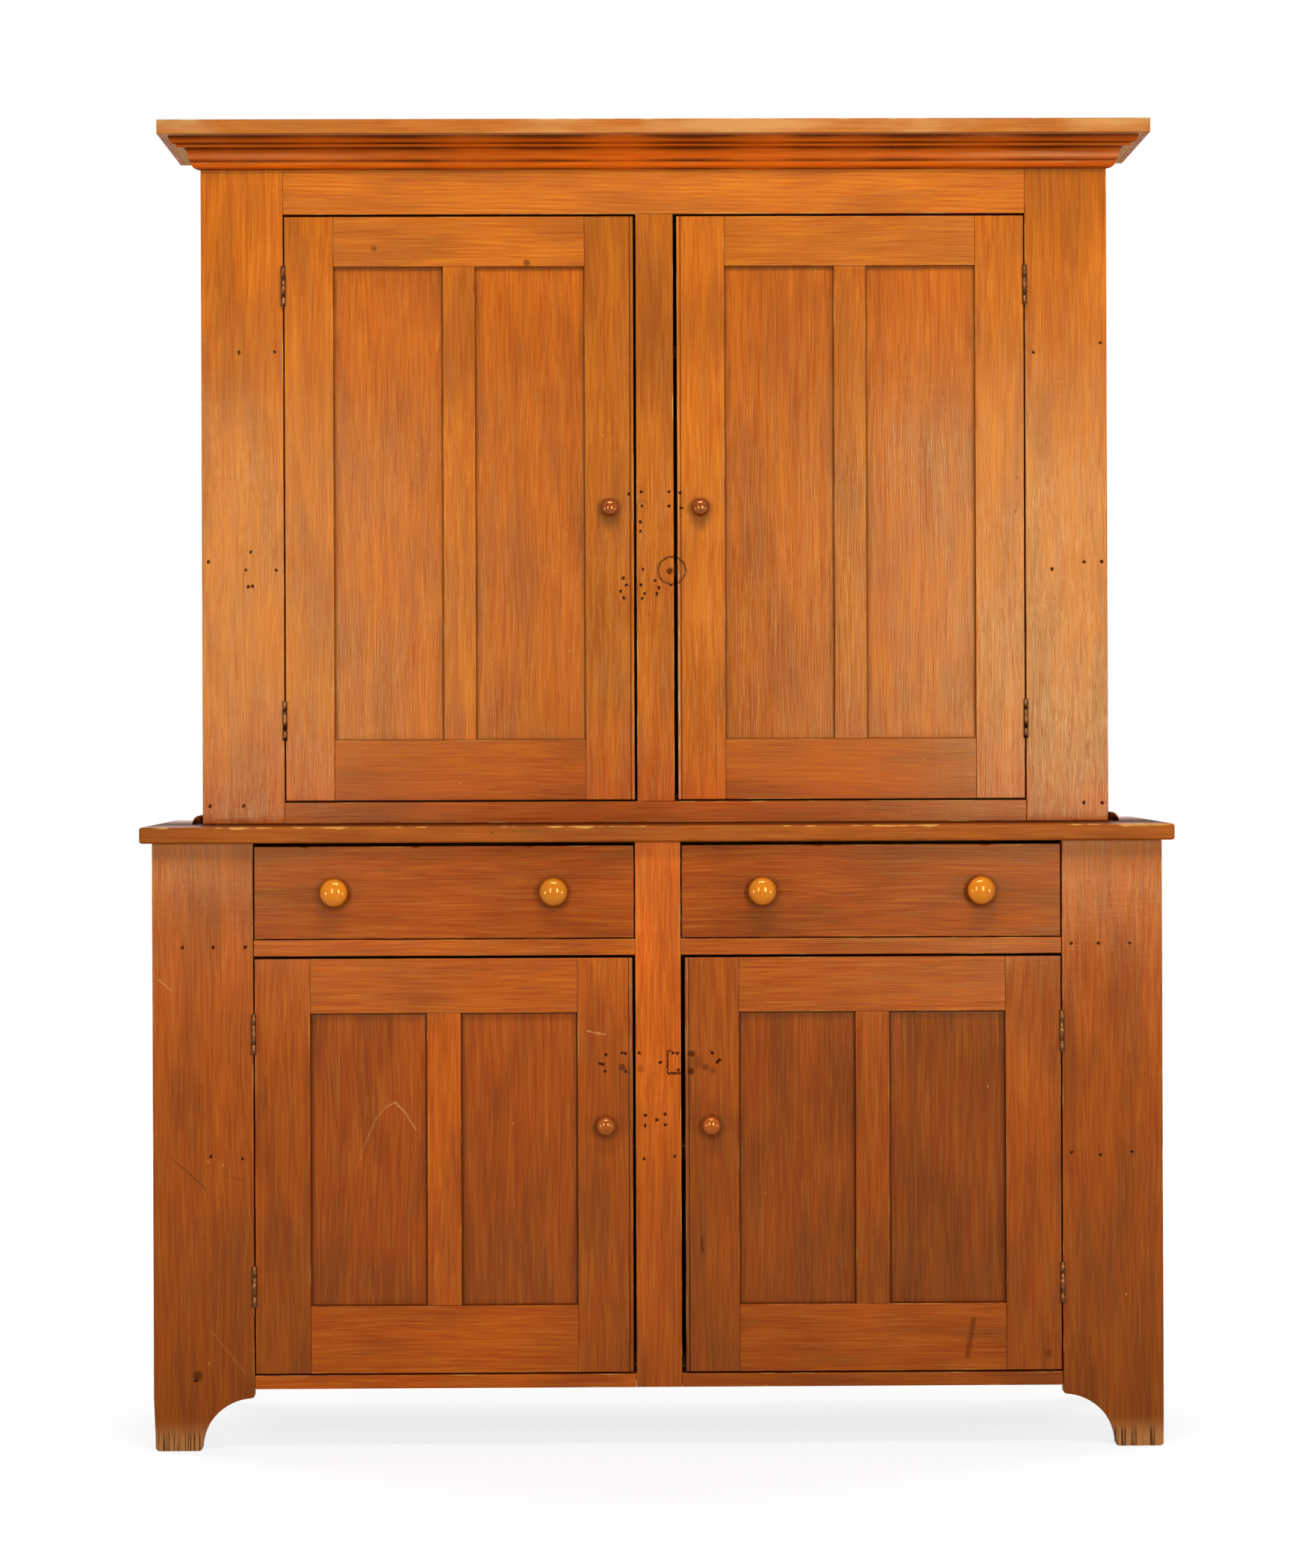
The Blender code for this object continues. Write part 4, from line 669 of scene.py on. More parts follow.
# How much lighter or darker boards are than their neighbours: all along, or at their low and high ends.
# On the lower stiles and the lower centre stile the change from end to end is partly painted light:
# lighter at the top, darker towards the floor.
SHADES = {
    "upper_head_rail": 0.06, "upper_sill_rail": -0.19, "upper_centre_stile": (0.06, -0.18),
    "upper_stile_left": (-0.08, -0.02), "door_upper_left_lock_stile": (-0.2, -0.22),
    "door_upper_right_lock_stile": (0.04, 0.06), "door_upper_left_hinge_stile": (-0.02, 0.02),
    "door_upper_right_hinge_stile": (-0.06, -0.03), "door_upper_left_top_rail": 0.02,
    "door_upper_right_top_rail": -0.14, "door_upper_left_bottom_rail": -0.23,
    "door_upper_right_bottom_rail": -0.22, "door_upper_left_muntin": (0.02, 0.04),
    "door_upper_right_muntin": -0.15, "door_upper_left_panel_inner_board": (-0.1, 0.02),
    "door_upper_right_panel_inner_board": (-0.14, -0.02),
    "door_upper_right_panel_outer_board": (-0.14, -0.03),
    "door_upper_left_panel_outer_board": (-0.04, -0.12), "lower_centre_stile": (0.0, 0.5),
    "lower_stile_left": (-0.18, 0.17), "lower_stile_right": (-0.13, 0.15), "lower_sill_left": 0.42,
    "drawer_rail_right": -0.06, "door_lower_left_muntin": 0.28,
    "door_lower_right_muntin": -0.08, "door_lower_left_bottom_rail": 0.22,
    "door_lower_left_lock_stile": 0.03, "door_lower_right_lock_stile": -0.1,
    "door_lower_left_hinge_stile": -0.06, "door_lower_right_hinge_stile": -0.05,
    "door_lower_left_panel_outer_board": 0.07, "door_lower_left_panel_inner_board": 0.06,
    "door_lower_right_panel_inner_board": -0.08, "door_lower_right_panel_outer_board": -0.08,
    "drawer_right_front_board": -0.06,
}


def skin(rings):
    """Join rings of points into one closed form."""
    form = bmesh.new()
    made = [[form.verts.new(point) for point in ring] for ring in rings]
    for ring, following in zip(made, made[1:]):
        for i in range(len(ring)):
            j = (i + 1) % len(ring)
            form.faces.new((ring[i], ring[j], following[j], following[i]))
    form.faces.new(made[0])
    form.faces.new(made[-1])
    return form


def piece(name, form, places, half, body, nodes, slot, material=None, dirt_and_shade=None, figure=0.0):
    """Turn a form into a piece that rides on a body and stands for nodes of the frame."""
    bmesh.ops.recalc_face_normals(form, faces=form.faces)
    mesh = bpy.data.meshes.new(name)
    form.to_mesh(mesh)
    form.free()
    seed = Vector(chance.uniform(0.0, 9.0) for _ in range(3))
    shade = SHADES.get(name, 0.0)
    make = (*(shade if isinstance(shade, tuple) else (shade, shade)), figure)
    count = len(places)
    kept = {"board": places, "half": [half] * count, "seed": [seed] * count, "make": [make] * count}
    for label, values in kept.items():
        layer = mesh.attributes.new(label, "FLOAT_VECTOR", "POINT")
        layer.data.foreach_set("vector", [c for value in values for c in value])
    if dirt_and_shade:
        mesh.attributes.new("dirt_and_shade", "FLOAT", "POINT").data.foreach_set("value", dirt_and_shade)
    mesh.shade_smooth()
    mesh.materials.append(material or finishes[slot])
    made = bpy.data.objects.new(name, mesh)
    bpy.context.scene.collection.objects.link(made)
    shading = made.modifiers.new("even_shading", "WEIGHTED_NORMAL")
    shading.weight = 100
    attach(made, body)
    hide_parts(*nodes)
    return made


print("boards with a tone of their own:", len(SHADES))

# %% [markdown]
# The sweeper sets sections up along the grain, one every 20 mm or so, and joins them. A knock, a sawn foot
# or a rounded end is only a section that differs from its neighbours.

# %% Board sweeper
AXES = "XYZ"
CORNER_STEPS = 3
END_STEPS = 2
MOST_ROUND = 0.45             # the largest radius of a corner, in half thicknesses
SLOW_WEAR = 9.0               # how often the rounding changes in a metre,
QUICK_WEAR = 45.0             # and how often there may be a knock


def section(half_across, half_through, radii, extra, soil_and_shade):
    """Points round a section, with their dirt and painted shade: four rounded corners, and extra points on
    some sides.
    """
    points = []
    corners = ((-1, -1), (1, -1), (1, 1), (-1, 1))
    for number, (across, through) in enumerate(corners):
        radius = radii[number]
        centre = (across * (half_across - radius), through * (half_through - radius))
        side_step = CORNER_STEPS if number % 2 else 0
        for step in range(CORNER_STEPS + 1):
            angle = math.radians(180 + 90 * (number + step / CORNER_STEPS))
            soiled_and_shaded = soil_and_shade[across > 0] * max(0.0, 1.0 - abs(step - side_step) / 2)
            points.append((centre[0] + radius * math.cos(angle), centre[1] + radius * math.sin(angle),
                           soiled_and_shaded))
        points += extra.get(number, [])
    return points


def worn_radius(wear, along, number, seed, knocks):
    """Rounding of one corner at one place along a board: a little everywhere, more at some knocks."""
    slow = noise.noise(Vector((along * SLOW_WEAR, number * 3.7, seed)))
    quick = noise.noise(Vector((along * QUICK_WEAR, number * 5.3, seed + 11.0)))
    radius = wear * (0.85 + 0.4 * slow + 2.0 * max(0.0, quick - 0.34))
    for corner, at, reach, deep in knocks:
        if corner == number:
            radius += deep * math.exp(-((along - at) / reach) ** 2)
    return radius


def board(name, x, y, z, grain, body, nodes, slot, wear=0.0008, step=0.02, ease=0.0008, extra=None, trim=(),
          knocks=(), soil_and_shade=(0.0, 0.0), figure=0.0):
    """A board between three pairs of planes, its grain along X, Y or Z.

    extra holds more points for sides of its section. trim gives (place, low cut, high cut) from the low
    end: how much of the two sides is sawn away there. knocks are (corner, place, reach, depth). soil is
    the dirt and painted shade on the low and the high side, where another board is close.
    """
    low = Vector(min(pair) for pair in (x, y, z))
    high = Vector(max(pair) for pair in (x, y, z))
    size = high - low
    along = AXES.index(grain)
    through, across = sorted((i for i in range(3) if i != along), key=lambda i: size[i])
    half = Vector((size[across] / 2, size[through] / 2, size[along] / 2))
    centre = (low + high) / 2
    seed = chance.uniform(0.0, 90.0)
    limit = MOST_ROUND * min(half.x, half.y)
    count = max(2, math.ceil((size[along] - 2 * ease) / step))
    run = [ease - half.z + (size[along] - 2 * ease) * i / count for i in range(count + 1)]
    stations = [(place, 0.0, 0.0, 0.0) for place in run]
    for i in range(1, END_STEPS + 1):
        angle = math.pi / 2 * i / END_STEPS
        end = half.z - ease + ease * math.sin(angle)
        inset = ease - ease * math.cos(angle)
        stations += [(-end, 0.0, 0.0, inset), (end, 0.0, 0.0, inset)]
    if trim:
        sawn = trim[-1][0] - half.z
        stations = [station for station in stations if station[0] > sawn + ease]
        stations += [(place - half.z, low_cut, high_cut, 0.0) for place, low_cut, high_cut in trim]
    rings = []
    places = []
    dirt_and_shade = []
    for place, low_cut, high_cut, inset in sorted(stations):
        radii = [min(limit, worn_radius(wear, place, k, seed, knocks)) for k in range(4)]
        reach = half.x - (low_cut + high_cut) / 2
        shift = (low_cut - high_cut) / 2
        end_soil_and_shade = max(soil_and_shade) if inset >= ease else 0.0
        ring = []
        for a, t, soiled_and_shaded in section(reach, half.y, radii, extra or {}, soil_and_shade):
            a = shift + max(inset - reach, min(reach - inset, a))
            t = max(inset - half.y, min(half.y - inset, t))
            spot = centre.copy()
            spot[across] += a
            spot[through] += t
            spot[along] += place
            ring.append(spot)
            places.append((a, t, place))
            dirt_and_shade.append(max(soiled_and_shaded, end_soil_and_shade))
        rings.append(ring)
    return piece(name, skin(rings), places, half, body, nodes, slot, dirt_and_shade=dirt_and_shade, figure=figure)


print("sections: four corners of", CORNER_STEPS + 1, "points")

# %% [markdown]
# ## The two face frames
# Each front is a frame of stiles and rails. One flat piece with holes would do for the shape, but they are
# separate boards here, so that the grain turns at every joint as it does on the real front. The outer
# stiles of the lower case run down into feet, whose inner side is sawn to a quarter circle. The left
# foot is worn on its outer side too.

# %% Lower face frame
LOWER_STILE = 0.1575
LOWER_CENTRE = 0.071
LOWER_SILL = 0.021
DRAWER_RAIL = 0.0255
RAIL_LIFT = 0.096
DRAWER_FLOOR = 0.7975
FOOT_RADIUS = 0.082
FOOT_CORNER = 0.005           # rounding at the top of the arch
FOOT_ROUND = 0.005            # rounding at the floor
FOOT_TAPER = {"left": 0.0035, "right": 0.0005}  # worn off the outer sides, most at the floor
FOOT_STEPS = 14
JOINT = 0.0003                # half of the fine line where two boards meet
OPEN_JOINT = 0.0009           # the same where a joint has opened
EDGE_DIRT_AND_SHADE = 0.7               # dirt and painted shade on edges that face a gap
RAIL_FIGURE = 0.2             # how much the growth rings show on the rails


def foot_cuts(lift, taper):
    """How much is sawn from the inner and the outer side of a foot, at a height above the floor."""
    arch = math.sqrt(max(0.0, FOOT_RADIUS ** 2 - lift ** 2))
    from_corner = max(0.0, FOOT_RADIUS + FOOT_CORNER - lift)
    corner = FOOT_CORNER - math.sqrt(max(0.0, FOOT_CORNER ** 2 - from_corner ** 2))
    from_floor = max(0.0, FOOT_ROUND - lift)
    eased = FOOT_ROUND - math.sqrt(FOOT_ROUND ** 2 - from_floor ** 2)
    return max(arch, corner) + eased, eased + taper * max(0.0, 1.0 - lift / FOOT_RADIUS)


low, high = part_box("lower_face_frame")
front = (low.y, high.y)
shared = {"body": "case", "nodes": ["lower_face_frame"], "slot": "lower_case_wood"}
stile_edge = high.x - LOWER_STILE
lifts = [FOOT_ROUND * (step / 4) ** 2 for step in range(4)]
lifts += [FOOT_ROUND + (FOOT_RADIUS - FOOT_ROUND) * math.sin(math.pi / 2 * step / FOOT_STEPS)
          for step in range(FOOT_STEPS + 1)]
lifts += [FOOT_RADIUS + FOOT_CORNER * (step / 4) ** 2 for step in range(1, 5)]
board("lower_centre_stile", (-LOWER_CENTRE / 2, LOWER_CENTRE / 2), front, (RAIL_LIFT, high.z), "Z",
      soil_and_shade=(EDGE_DIRT_AND_SHADE, EDGE_DIRT_AND_SHADE), **shared)
for side, sign in (("left", -1), ("right", 1)):
    foot = [(lift, *foot_cuts(lift, FOOT_TAPER[side])[::sign]) for lift in lifts]
    soil_and_shade = (EDGE_DIRT_AND_SHADE / 2, EDGE_DIRT_AND_SHADE)[::-sign]
    board(f"lower_stile_{side}", (sign * high.x, sign * stile_edge), front, (0.0, high.z), "Z", wear=0.0016,
          step=0.012, trim=foot, soil_and_shade=soil_and_shade, **shared)
    rail = (sign * (LOWER_CENTRE / 2 + JOINT), sign * (stile_edge - OPEN_JOINT))
    board(f"lower_sill_{side}", rail, front, (RAIL_LIFT, RAIL_LIFT + LOWER_SILL), "X",
          figure=RAIL_FIGURE, **shared)
    board(f"drawer_rail_{side}", rail, front, (DRAWER_FLOOR - DRAWER_RAIL, DRAWER_FLOOR), "X", wear=0.0014,
          step=0.010, soil_and_shade=(EDGE_DIRT_AND_SHADE, 0.0), figure=RAIL_FIGURE, **shared)
print("lower face frame: 7 boards")

# %% Upper face frame
UPPER_STILE = 0.132
UPPER_CENTRE = 0.060
UPPER_SILL = 0.0337
UPPER_HEAD = 0.1209
HEAD_FIGURE = 0.45            # the head rail is sawn flat, so its growth rings show most,
SILL_FIGURE = 0.15            # and the sill less

low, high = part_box("upper_face_frame")
front = (low.y, high.y)
shared = {"body": "case", "nodes": ["upper_face_frame"], "slot": "upper_case_wood"}
stile_edge = high.x - UPPER_STILE
rail = (JOINT - stile_edge, stile_edge - JOINT)
board("upper_head_rail", rail, front, (high.z - UPPER_HEAD, high.z), "X", soil_and_shade=(EDGE_DIRT_AND_SHADE, 0.0),
      figure=HEAD_FIGURE, **shared)
board("upper_sill_rail", rail, front, (low.z, low.z + UPPER_SILL), "X", soil_and_shade=(0.0, EDGE_DIRT_AND_SHADE),
      figure=SILL_FIGURE, **shared)
board("upper_centre_stile", (-UPPER_CENTRE / 2, UPPER_CENTRE / 2), front,
      (low.z + UPPER_SILL + JOINT, high.z - UPPER_HEAD - JOINT), "Z", soil_and_shade=(EDGE_DIRT_AND_SHADE, EDGE_DIRT_AND_SHADE), **shared)
for side, sign in (("left", -1), ("right", 1)):
    board(f"upper_stile_{side}", (sign * high.x, sign * stile_edge), front, (low.z, high.z), "Z", wear=0.0012,
          soil_and_shade=(EDGE_DIRT_AND_SHADE / 2, EDGE_DIRT_AND_SHADE)[::-sign], **shared)
print("upper face frame: 5 boards")

# %% [markdown]
# ## Ledge, cap and cornice
# The waist top is one thick board with well rounded edges, rubbed pale where arms have rested on it, and
# dark with dirt and painted shade before the upper case. A quarter-round cleat keeps the upper case in
# place on each side.
#
# The cornice is a planed moulding: from the top a bead, a fillet, a cove and an ovolo, mitred at its ends
# and covered by the cap board. A curve with a bevel could make it, but rings of points let each line of
# the section keep its own dirt and painted shade, which is what draws the dark lines under the bead and
# the cove.

# %% Waist top and cap
WAIST_THICKNESS = 0.0256
WAIST_EDGE = 0.0045
FOOT_DIRT_AND_SHADE = ((0.004, 1.0), (-0.060, 1.0), (-0.110, 0.80), (-0.165, 0.60))  # dirt and painted shade before the upper case
CLEAT_PLACE = 0.7345
CLEAT_WIDTH = 0.012
CLEAT_HEIGHT = 0.014
CLEAT_STEPS = 8

low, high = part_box("waist_top")
waist_top = low.z + WAIST_THICKNESS
face_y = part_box("upper_face_frame")[0].y
foot_line = [(face_y + at - (low.y + high.y) / 2, WAIST_THICKNESS / 2, soiled_and_shaded) for at, soiled_and_shaded in FOOT_DIRT_AND_SHADE]
board("waist_top_board", (low.x, high.x), (low.y, high.y), (low.z, waist_top), "X", "case", ["waist_top"],
      "waist_wood", wear=WAIST_EDGE, ease=WAIST_EDGE, extra={2: foot_line})
for side, sign in (("left", -1), ("right", 1)):
    angles = [math.pi / 2 * step / CLEAT_STEPS for step in range(CLEAT_STEPS + 1)]
    outline = [(0.0, 0.0)] + [(CLEAT_WIDTH * math.cos(a), CLEAT_HEIGHT * math.sin(a)) for a in angles]
    ends = [face_y, high.y - 2 * CLEAT_WIDTH]
    rings = [[Vector((sign * (CLEAT_PLACE + x), y, waist_top + z)) for x, z in outline] for y in ends]
    places = [(x, z, y) for y in ends for x, z in outline]
    piece(f"cleat_{side}", skin(rings), places, (CLEAT_WIDTH, CLEAT_HEIGHT, high.y), "case", ["waist_top"],
          "waist_wood")
low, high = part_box("cornice_cap")
board("cornice_cap_board", (low.x, high.x), (low.y, high.y), (low.z, high.z), "X", "case", ["cornice_cap"],
      "cap_wood", wear=0.0015)
print("ledge, two cleats and cap")

# %% Cornice moulding
BEAD_HEIGHT = 0.0125
BEAD_REACH = 0.047
BEAD_RUN = 0.0095
FILLET_HEIGHT = 0.005
FILLET_REACH = 0.0355
COVE_HEIGHT = 0.0195
COVE_REACH = 0.0255
COVE_RUN = 0.0078
OVOLO_HEIGHT = 0.0125
OVOLO_REACH = 0.0148
OVOLO_RUN = 0.0133
CURVE_STEPS = 10
MOULDING_STATIONS = 40
CREASE = math.radians(40)     # edges that turn more are sharp
PACKED = 1.25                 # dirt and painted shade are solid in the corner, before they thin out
DIRT_AND_SHADE_STRENGTH = 0.95                 # how strong the dirt and painted shade are on the whole
DIRT_AND_SHADE_RUN = 9.0              # and how often they change in a metre


def curve(centre, radii, start, end):
    """Points along an elliptic arc, its angles in degrees."""
    angles = [math.radians(start + (end - start) * i / CURVE_STEPS) for i in range(CURVE_STEPS + 1)]
    return [(centre[0] + radii[0] * math.cos(a), centre[1] + radii[1] * math.sin(a)) for a in angles]


def soiled_and_shaded(points, start, end):
    """Give each point of a moulding its dirt and painted shade: (amount, share of the curve it covers) from
    each end.
    """
    made = []
    for i, point in enumerate(points):
        share = i / (len(points) - 1)
        dirt_and_shade = [amount * min(1.0, PACKED * (1.0 - from_end / reach))
                for (amount, reach), from_end in ((start, share), (end, 1.0 - share))]
        made.append((*point, max(0.0, *dirt_and_shade)))
    return made


low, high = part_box("cornice_moulding")
upper_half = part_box("upper_face_frame")[1].x
cove = BEAD_HEIGHT + FILLET_HEIGHT
ovolo = cove + COVE_HEIGHT
profile = [(JOINT, 0.0, 1.0)]
profile += soiled_and_shaded(curve((BEAD_REACH - BEAD_RUN, 0.0), (BEAD_RUN, BEAD_HEIGHT), 0, 90), (1.0, 0.6), (1.0, 0.6))
profile += [(FILLET_REACH, BEAD_HEIGHT, 1.0), (FILLET_REACH, BEAD_HEIGHT + FILLET_HEIGHT / 3, 0.0),
            (FILLET_REACH, cove, 0.6)]
profile += soiled_and_shaded(curve((COVE_REACH, ovolo), (-COVE_RUN, -COVE_HEIGHT), 90, 0), (1.0, 0.6), (0.8, 0.15))
profile += soiled_and_shaded(curve((OVOLO_REACH - OVOLO_RUN, ovolo), (OVOLO_RUN, OVOLO_HEIGHT), 0, 90), (0.8, 0.15),
                  (1.0, 0.5))
profile += [(JOINT, ovolo + OVOLO_HEIGHT, 1.0)]
rings = []
places = []
for i in range(MOULDING_STATIONS + 1):
    share = 2 * i / MOULDING_STATIONS - 1
    ring = [Vector((share * (upper_half + reach), face_y - reach, high.z - drop))
            for reach, drop, soil_and_shade in profile]
    rings.append(ring)
    places += [(drop, reach, point.x) for point, (reach, drop, soil_and_shade) in zip(ring, profile)]
moulding_half = (ovolo + 2 * OVOLO_HEIGHT, 2 * BEAD_REACH, upper_half + 2 * BEAD_REACH)
dirt_and_shade_levels = [DIRT_AND_SHADE_STRENGTH + noise.noise(Vector((DIRT_AND_SHADE_RUN * ring[0].x, 0.0, 0.0))) for ring in rings]
dirt_and_shade = [min(1.0, soil_and_shade * dirt_and_shade_level) for dirt_and_shade_level in dirt_and_shade_levels for reach, drop, soil_and_shade in profile]
moulding = piece("cornice_moulding_planed", skin(rings), places, moulding_half, "case", ["cornice_moulding"],
                 "cornice_wood", dirt_and_shade=dirt_and_shade)
moulding.modifiers.clear()
moulding.data.set_sharp_from_angle(angle=CREASE)
print("cornice:", len(profile), "points in its section")

# %% [markdown]
# ## Sides, backs and shelves
# The sides stand behind the face frames. On the lower case they are cut away at the floor like the
# stiles: an outline, pushed out to the thickness of the board and eased all round. The backs are rough
# boards side by side, and the inside is bare wood gone brown. The shelves are darkened in front with
# painted shade, where the gaps round the doors let them be seen.

# %% Sides
SIDE_FOOT = 0.055
SIDE_EASE = 0.0008


def in_order(form):
    """The same form with its points and faces in a fixed order. A bevel gives another one in each run."""
    points = sorted(form.verts, key=lambda point: [round(c, 6) for c in point.co])
    number = {point: i for i, point in enumerate(points)}
    faces = []
    for face in form.faces:
        ring = [number[point] for point in face.verts]
        first = ring.index(min(ring))
        faces.append(ring[first:] + ring[:first])
    made = bmesh.new()
    moved = [made.verts.new(point.co) for point in points]
    for ring in sorted(faces):
        made.faces.new([moved[i] for i in ring])
    form.free()
    return made


for side in ("left", "right"):
    low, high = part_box(f"upper_side_{side}")
    board(f"upper_side_{side}_board", (low.x, high.x), (low.y, high.y), (low.z, high.z), "Z", "case",
          [f"upper_side_{side}"], "upper_case_wood")
    low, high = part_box(f"lower_side_{side}")
    gap = (low.y + SIDE_FOOT, high.y - SIDE_FOOT)
    arch = curve((gap[0] + FOOT_RADIUS, 0.0), (FOOT_RADIUS, FOOT_RADIUS), 180, 90)
    arch += [(gap[0] + FOOT_RADIUS, RAIL_LIFT), (gap[1] - FOOT_RADIUS, RAIL_LIFT)]
    arch += curve((gap[1] - FOOT_RADIUS, 0.0), (FOOT_RADIUS, FOOT_RADIUS), 90, 0)
    outline = [(low.y, 0.0), *arch, (high.y, 0.0), (high.y, high.z), (low.y, high.z)]
    form = bmesh.new()
    faces = [form.faces.new([form.verts.new((low.x, y, z)) for y, z in outline])]
    grown = bmesh.ops.extrude_face_region(form, geom=faces)["geom"]
    bmesh.ops.translate(form, vec=(high.x - low.x, 0.0, 0.0),
                        verts=[v for v in grown if isinstance(v, bmesh.types.BMVert)])
    bmesh.ops.bevel(form, geom=form.edges[:], offset=SIDE_EASE, segments=2, affect="EDGES", profile=0.5)
    form = in_order(form)
    centre = (low + high) / 2
    half = (high - low) / 2
    places = [(v.co.y - centre.y, v.co.x - centre.x, v.co.z - centre.z) for v in form.verts]
    piece(f"lower_side_{side}_board", form, places, (half.y, half.x, half.z), "case", [f"lower_side_{side}"],
          "lower_case_wood")
print("sides: 4")

# %% Backs, shelves and bottoms
BACK_BOARDS = 6
BACK_GAP = 0.00003            # half of the gap between two boards, too fine to let light through
BACK_EDGE = 0.0022
ROUGH_STEP = 0.06             # sections are further apart on boards that hardly show
SEAT = 0.0003                 # how far a piece stays off what it sits on

for case in ("upper", "lower"):
    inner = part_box(f"{case}_side_left")[1].x
    low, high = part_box(f"{case}_back")
    width = -2 * (inner + SEAT) / BACK_BOARDS
    for number in range(BACK_BOARDS):
        start = inner + SEAT + number * width
        board(f"{case}_back_{number}", (start + BACK_GAP, start + width - BACK_GAP), (low.y, high.y),
              (low.z, high.z), "Z", "case", [f"{case}_back"], "inner_wood", step=ROUGH_STEP, wear=BACK_EDGE,
              soil_and_shade=(1.0, 1.0))
    shelves = [f"{case}_bottom", "lower_shelf"] if case == "lower" else [
        f"{case}_bottom", "upper_shelf_low", "upper_shelf_high"]
    for shelf in shelves:
        low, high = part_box(shelf)
        board(f"{shelf}_board", (inner + SEAT, -inner - SEAT), (low.y, high.y), (low.z, high.z), "X", "case",
              [shelf], "inner_wood", step=ROUGH_STEP, soil_and_shade=(1.0, 0.0))
print("backs:", 2 * BACK_BOARDS, "boards; shelves and bottoms: 5")

# %% [markdown]
# ## Doors
# Each door is a frame of two stiles, two rails and a muntin round two panels. The panels are flat in
# front and fielded behind, and sit in grooves of the frame. A bead is worked along the lock edge: a
# narrow quirk, cut with a beading plane, parts it from the face. Grooves and quirks are extra points in
# the section of a board, so that they are real hollows that keep shade and dirt.

# %% Doors
DOOR_SIZES = {
    "upper": {"stile": 0.079, "muntin": 0.0513, "top": 0.081, "bottom": 0.0974},
    "lower": {"stile": 0.087, "muntin": 0.0525, "top": 0.0863, "bottom": 0.1055},
}
GROOVE_DEPTH = 0.009
GROOVE_HALF = 0.0033
QUIRK_INSET = 0.005
QUIRK_WIDTH = 0.0016
QUIRK_DEPTH = 0.0025
HALF_STOCK = 0.011
FIELD_MARGIN = 0.011
FIELD_SLOPE = 0.022
PANEL_EDGE = 0.006
LOCK_PLANED = {"door_upper_left": 0.0008, "door_upper_right": 0.0024, "door_lower_left": 0.0012,
               "door_lower_right": 0.0030}      # taken off the lock edges, so that the doors don't bind
HINGE_PLANED = 0.0007         # the same for the hinge edges,
TOP_PLANED = 0.0010           # the tops
FOOT_PLANED = 0.0006          # and the bottoms


def groove(half, side):
    """Points of a panel groove on the high (1) or the low (3) side of a section."""
    sign = 1 if side == 1 else -1
    lip = sign * half
    root = sign * (half - GROOVE_DEPTH)
    wall = sign * GROOVE_HALF
    return [(lip, -wall, EDGE_DIRT_AND_SHADE), (root, -wall, 1.0), (root, wall, 1.0), (lip, wall, EDGE_DIRT_AND_SHADE)]


def quirk(half, sign):
    """Points of the narrow channel beside the bead on a lock edge."""
    inner = sign * (half - QUIRK_INSET)
    outer = sign * (half - QUIRK_INSET - QUIRK_WIDTH)
    first, last = sorted((inner, outer))
    root = QUIRK_DEPTH - HALF_STOCK
    return [(first, -HALF_STOCK, 0.0), (first, root, EDGE_DIRT_AND_SHADE), (last, root, EDGE_DIRT_AND_SHADE),
            (last, -HALF_STOCK, 0.0)]


def panel(name, body, slot):
    """A panel with a flat front and a raised field behind."""
    low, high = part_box(name)
    inset = (0.0, 0.0, FIELD_MARGIN, FIELD_MARGIN + FIELD_SLOPE)
    depths = (low.y, low.y + PANEL_EDGE, low.y + PANEL_EDGE, high.y)
    rings = []
    for gap, y in zip(inset, depths):
        rings.append([Vector((low.x + gap, y, low.z + gap)), Vector((high.x - gap, y, low.z + gap)),
                      Vector((high.x - gap, y, high.z - gap)), Vector((low.x + gap, y, high.z - gap))])
    form = skin(rings)
    centre = (low + high) / 2
    half = (high - low) / 2
    places = [(p.x - centre.x, p.y - centre.y, p.z - centre.z) for ring in rings for p in ring]
    made = piece(f"{name}_board", form, places, half, body, [name], slot)
    made.modifiers.clear()
    made.data.shade_flat()
    return made


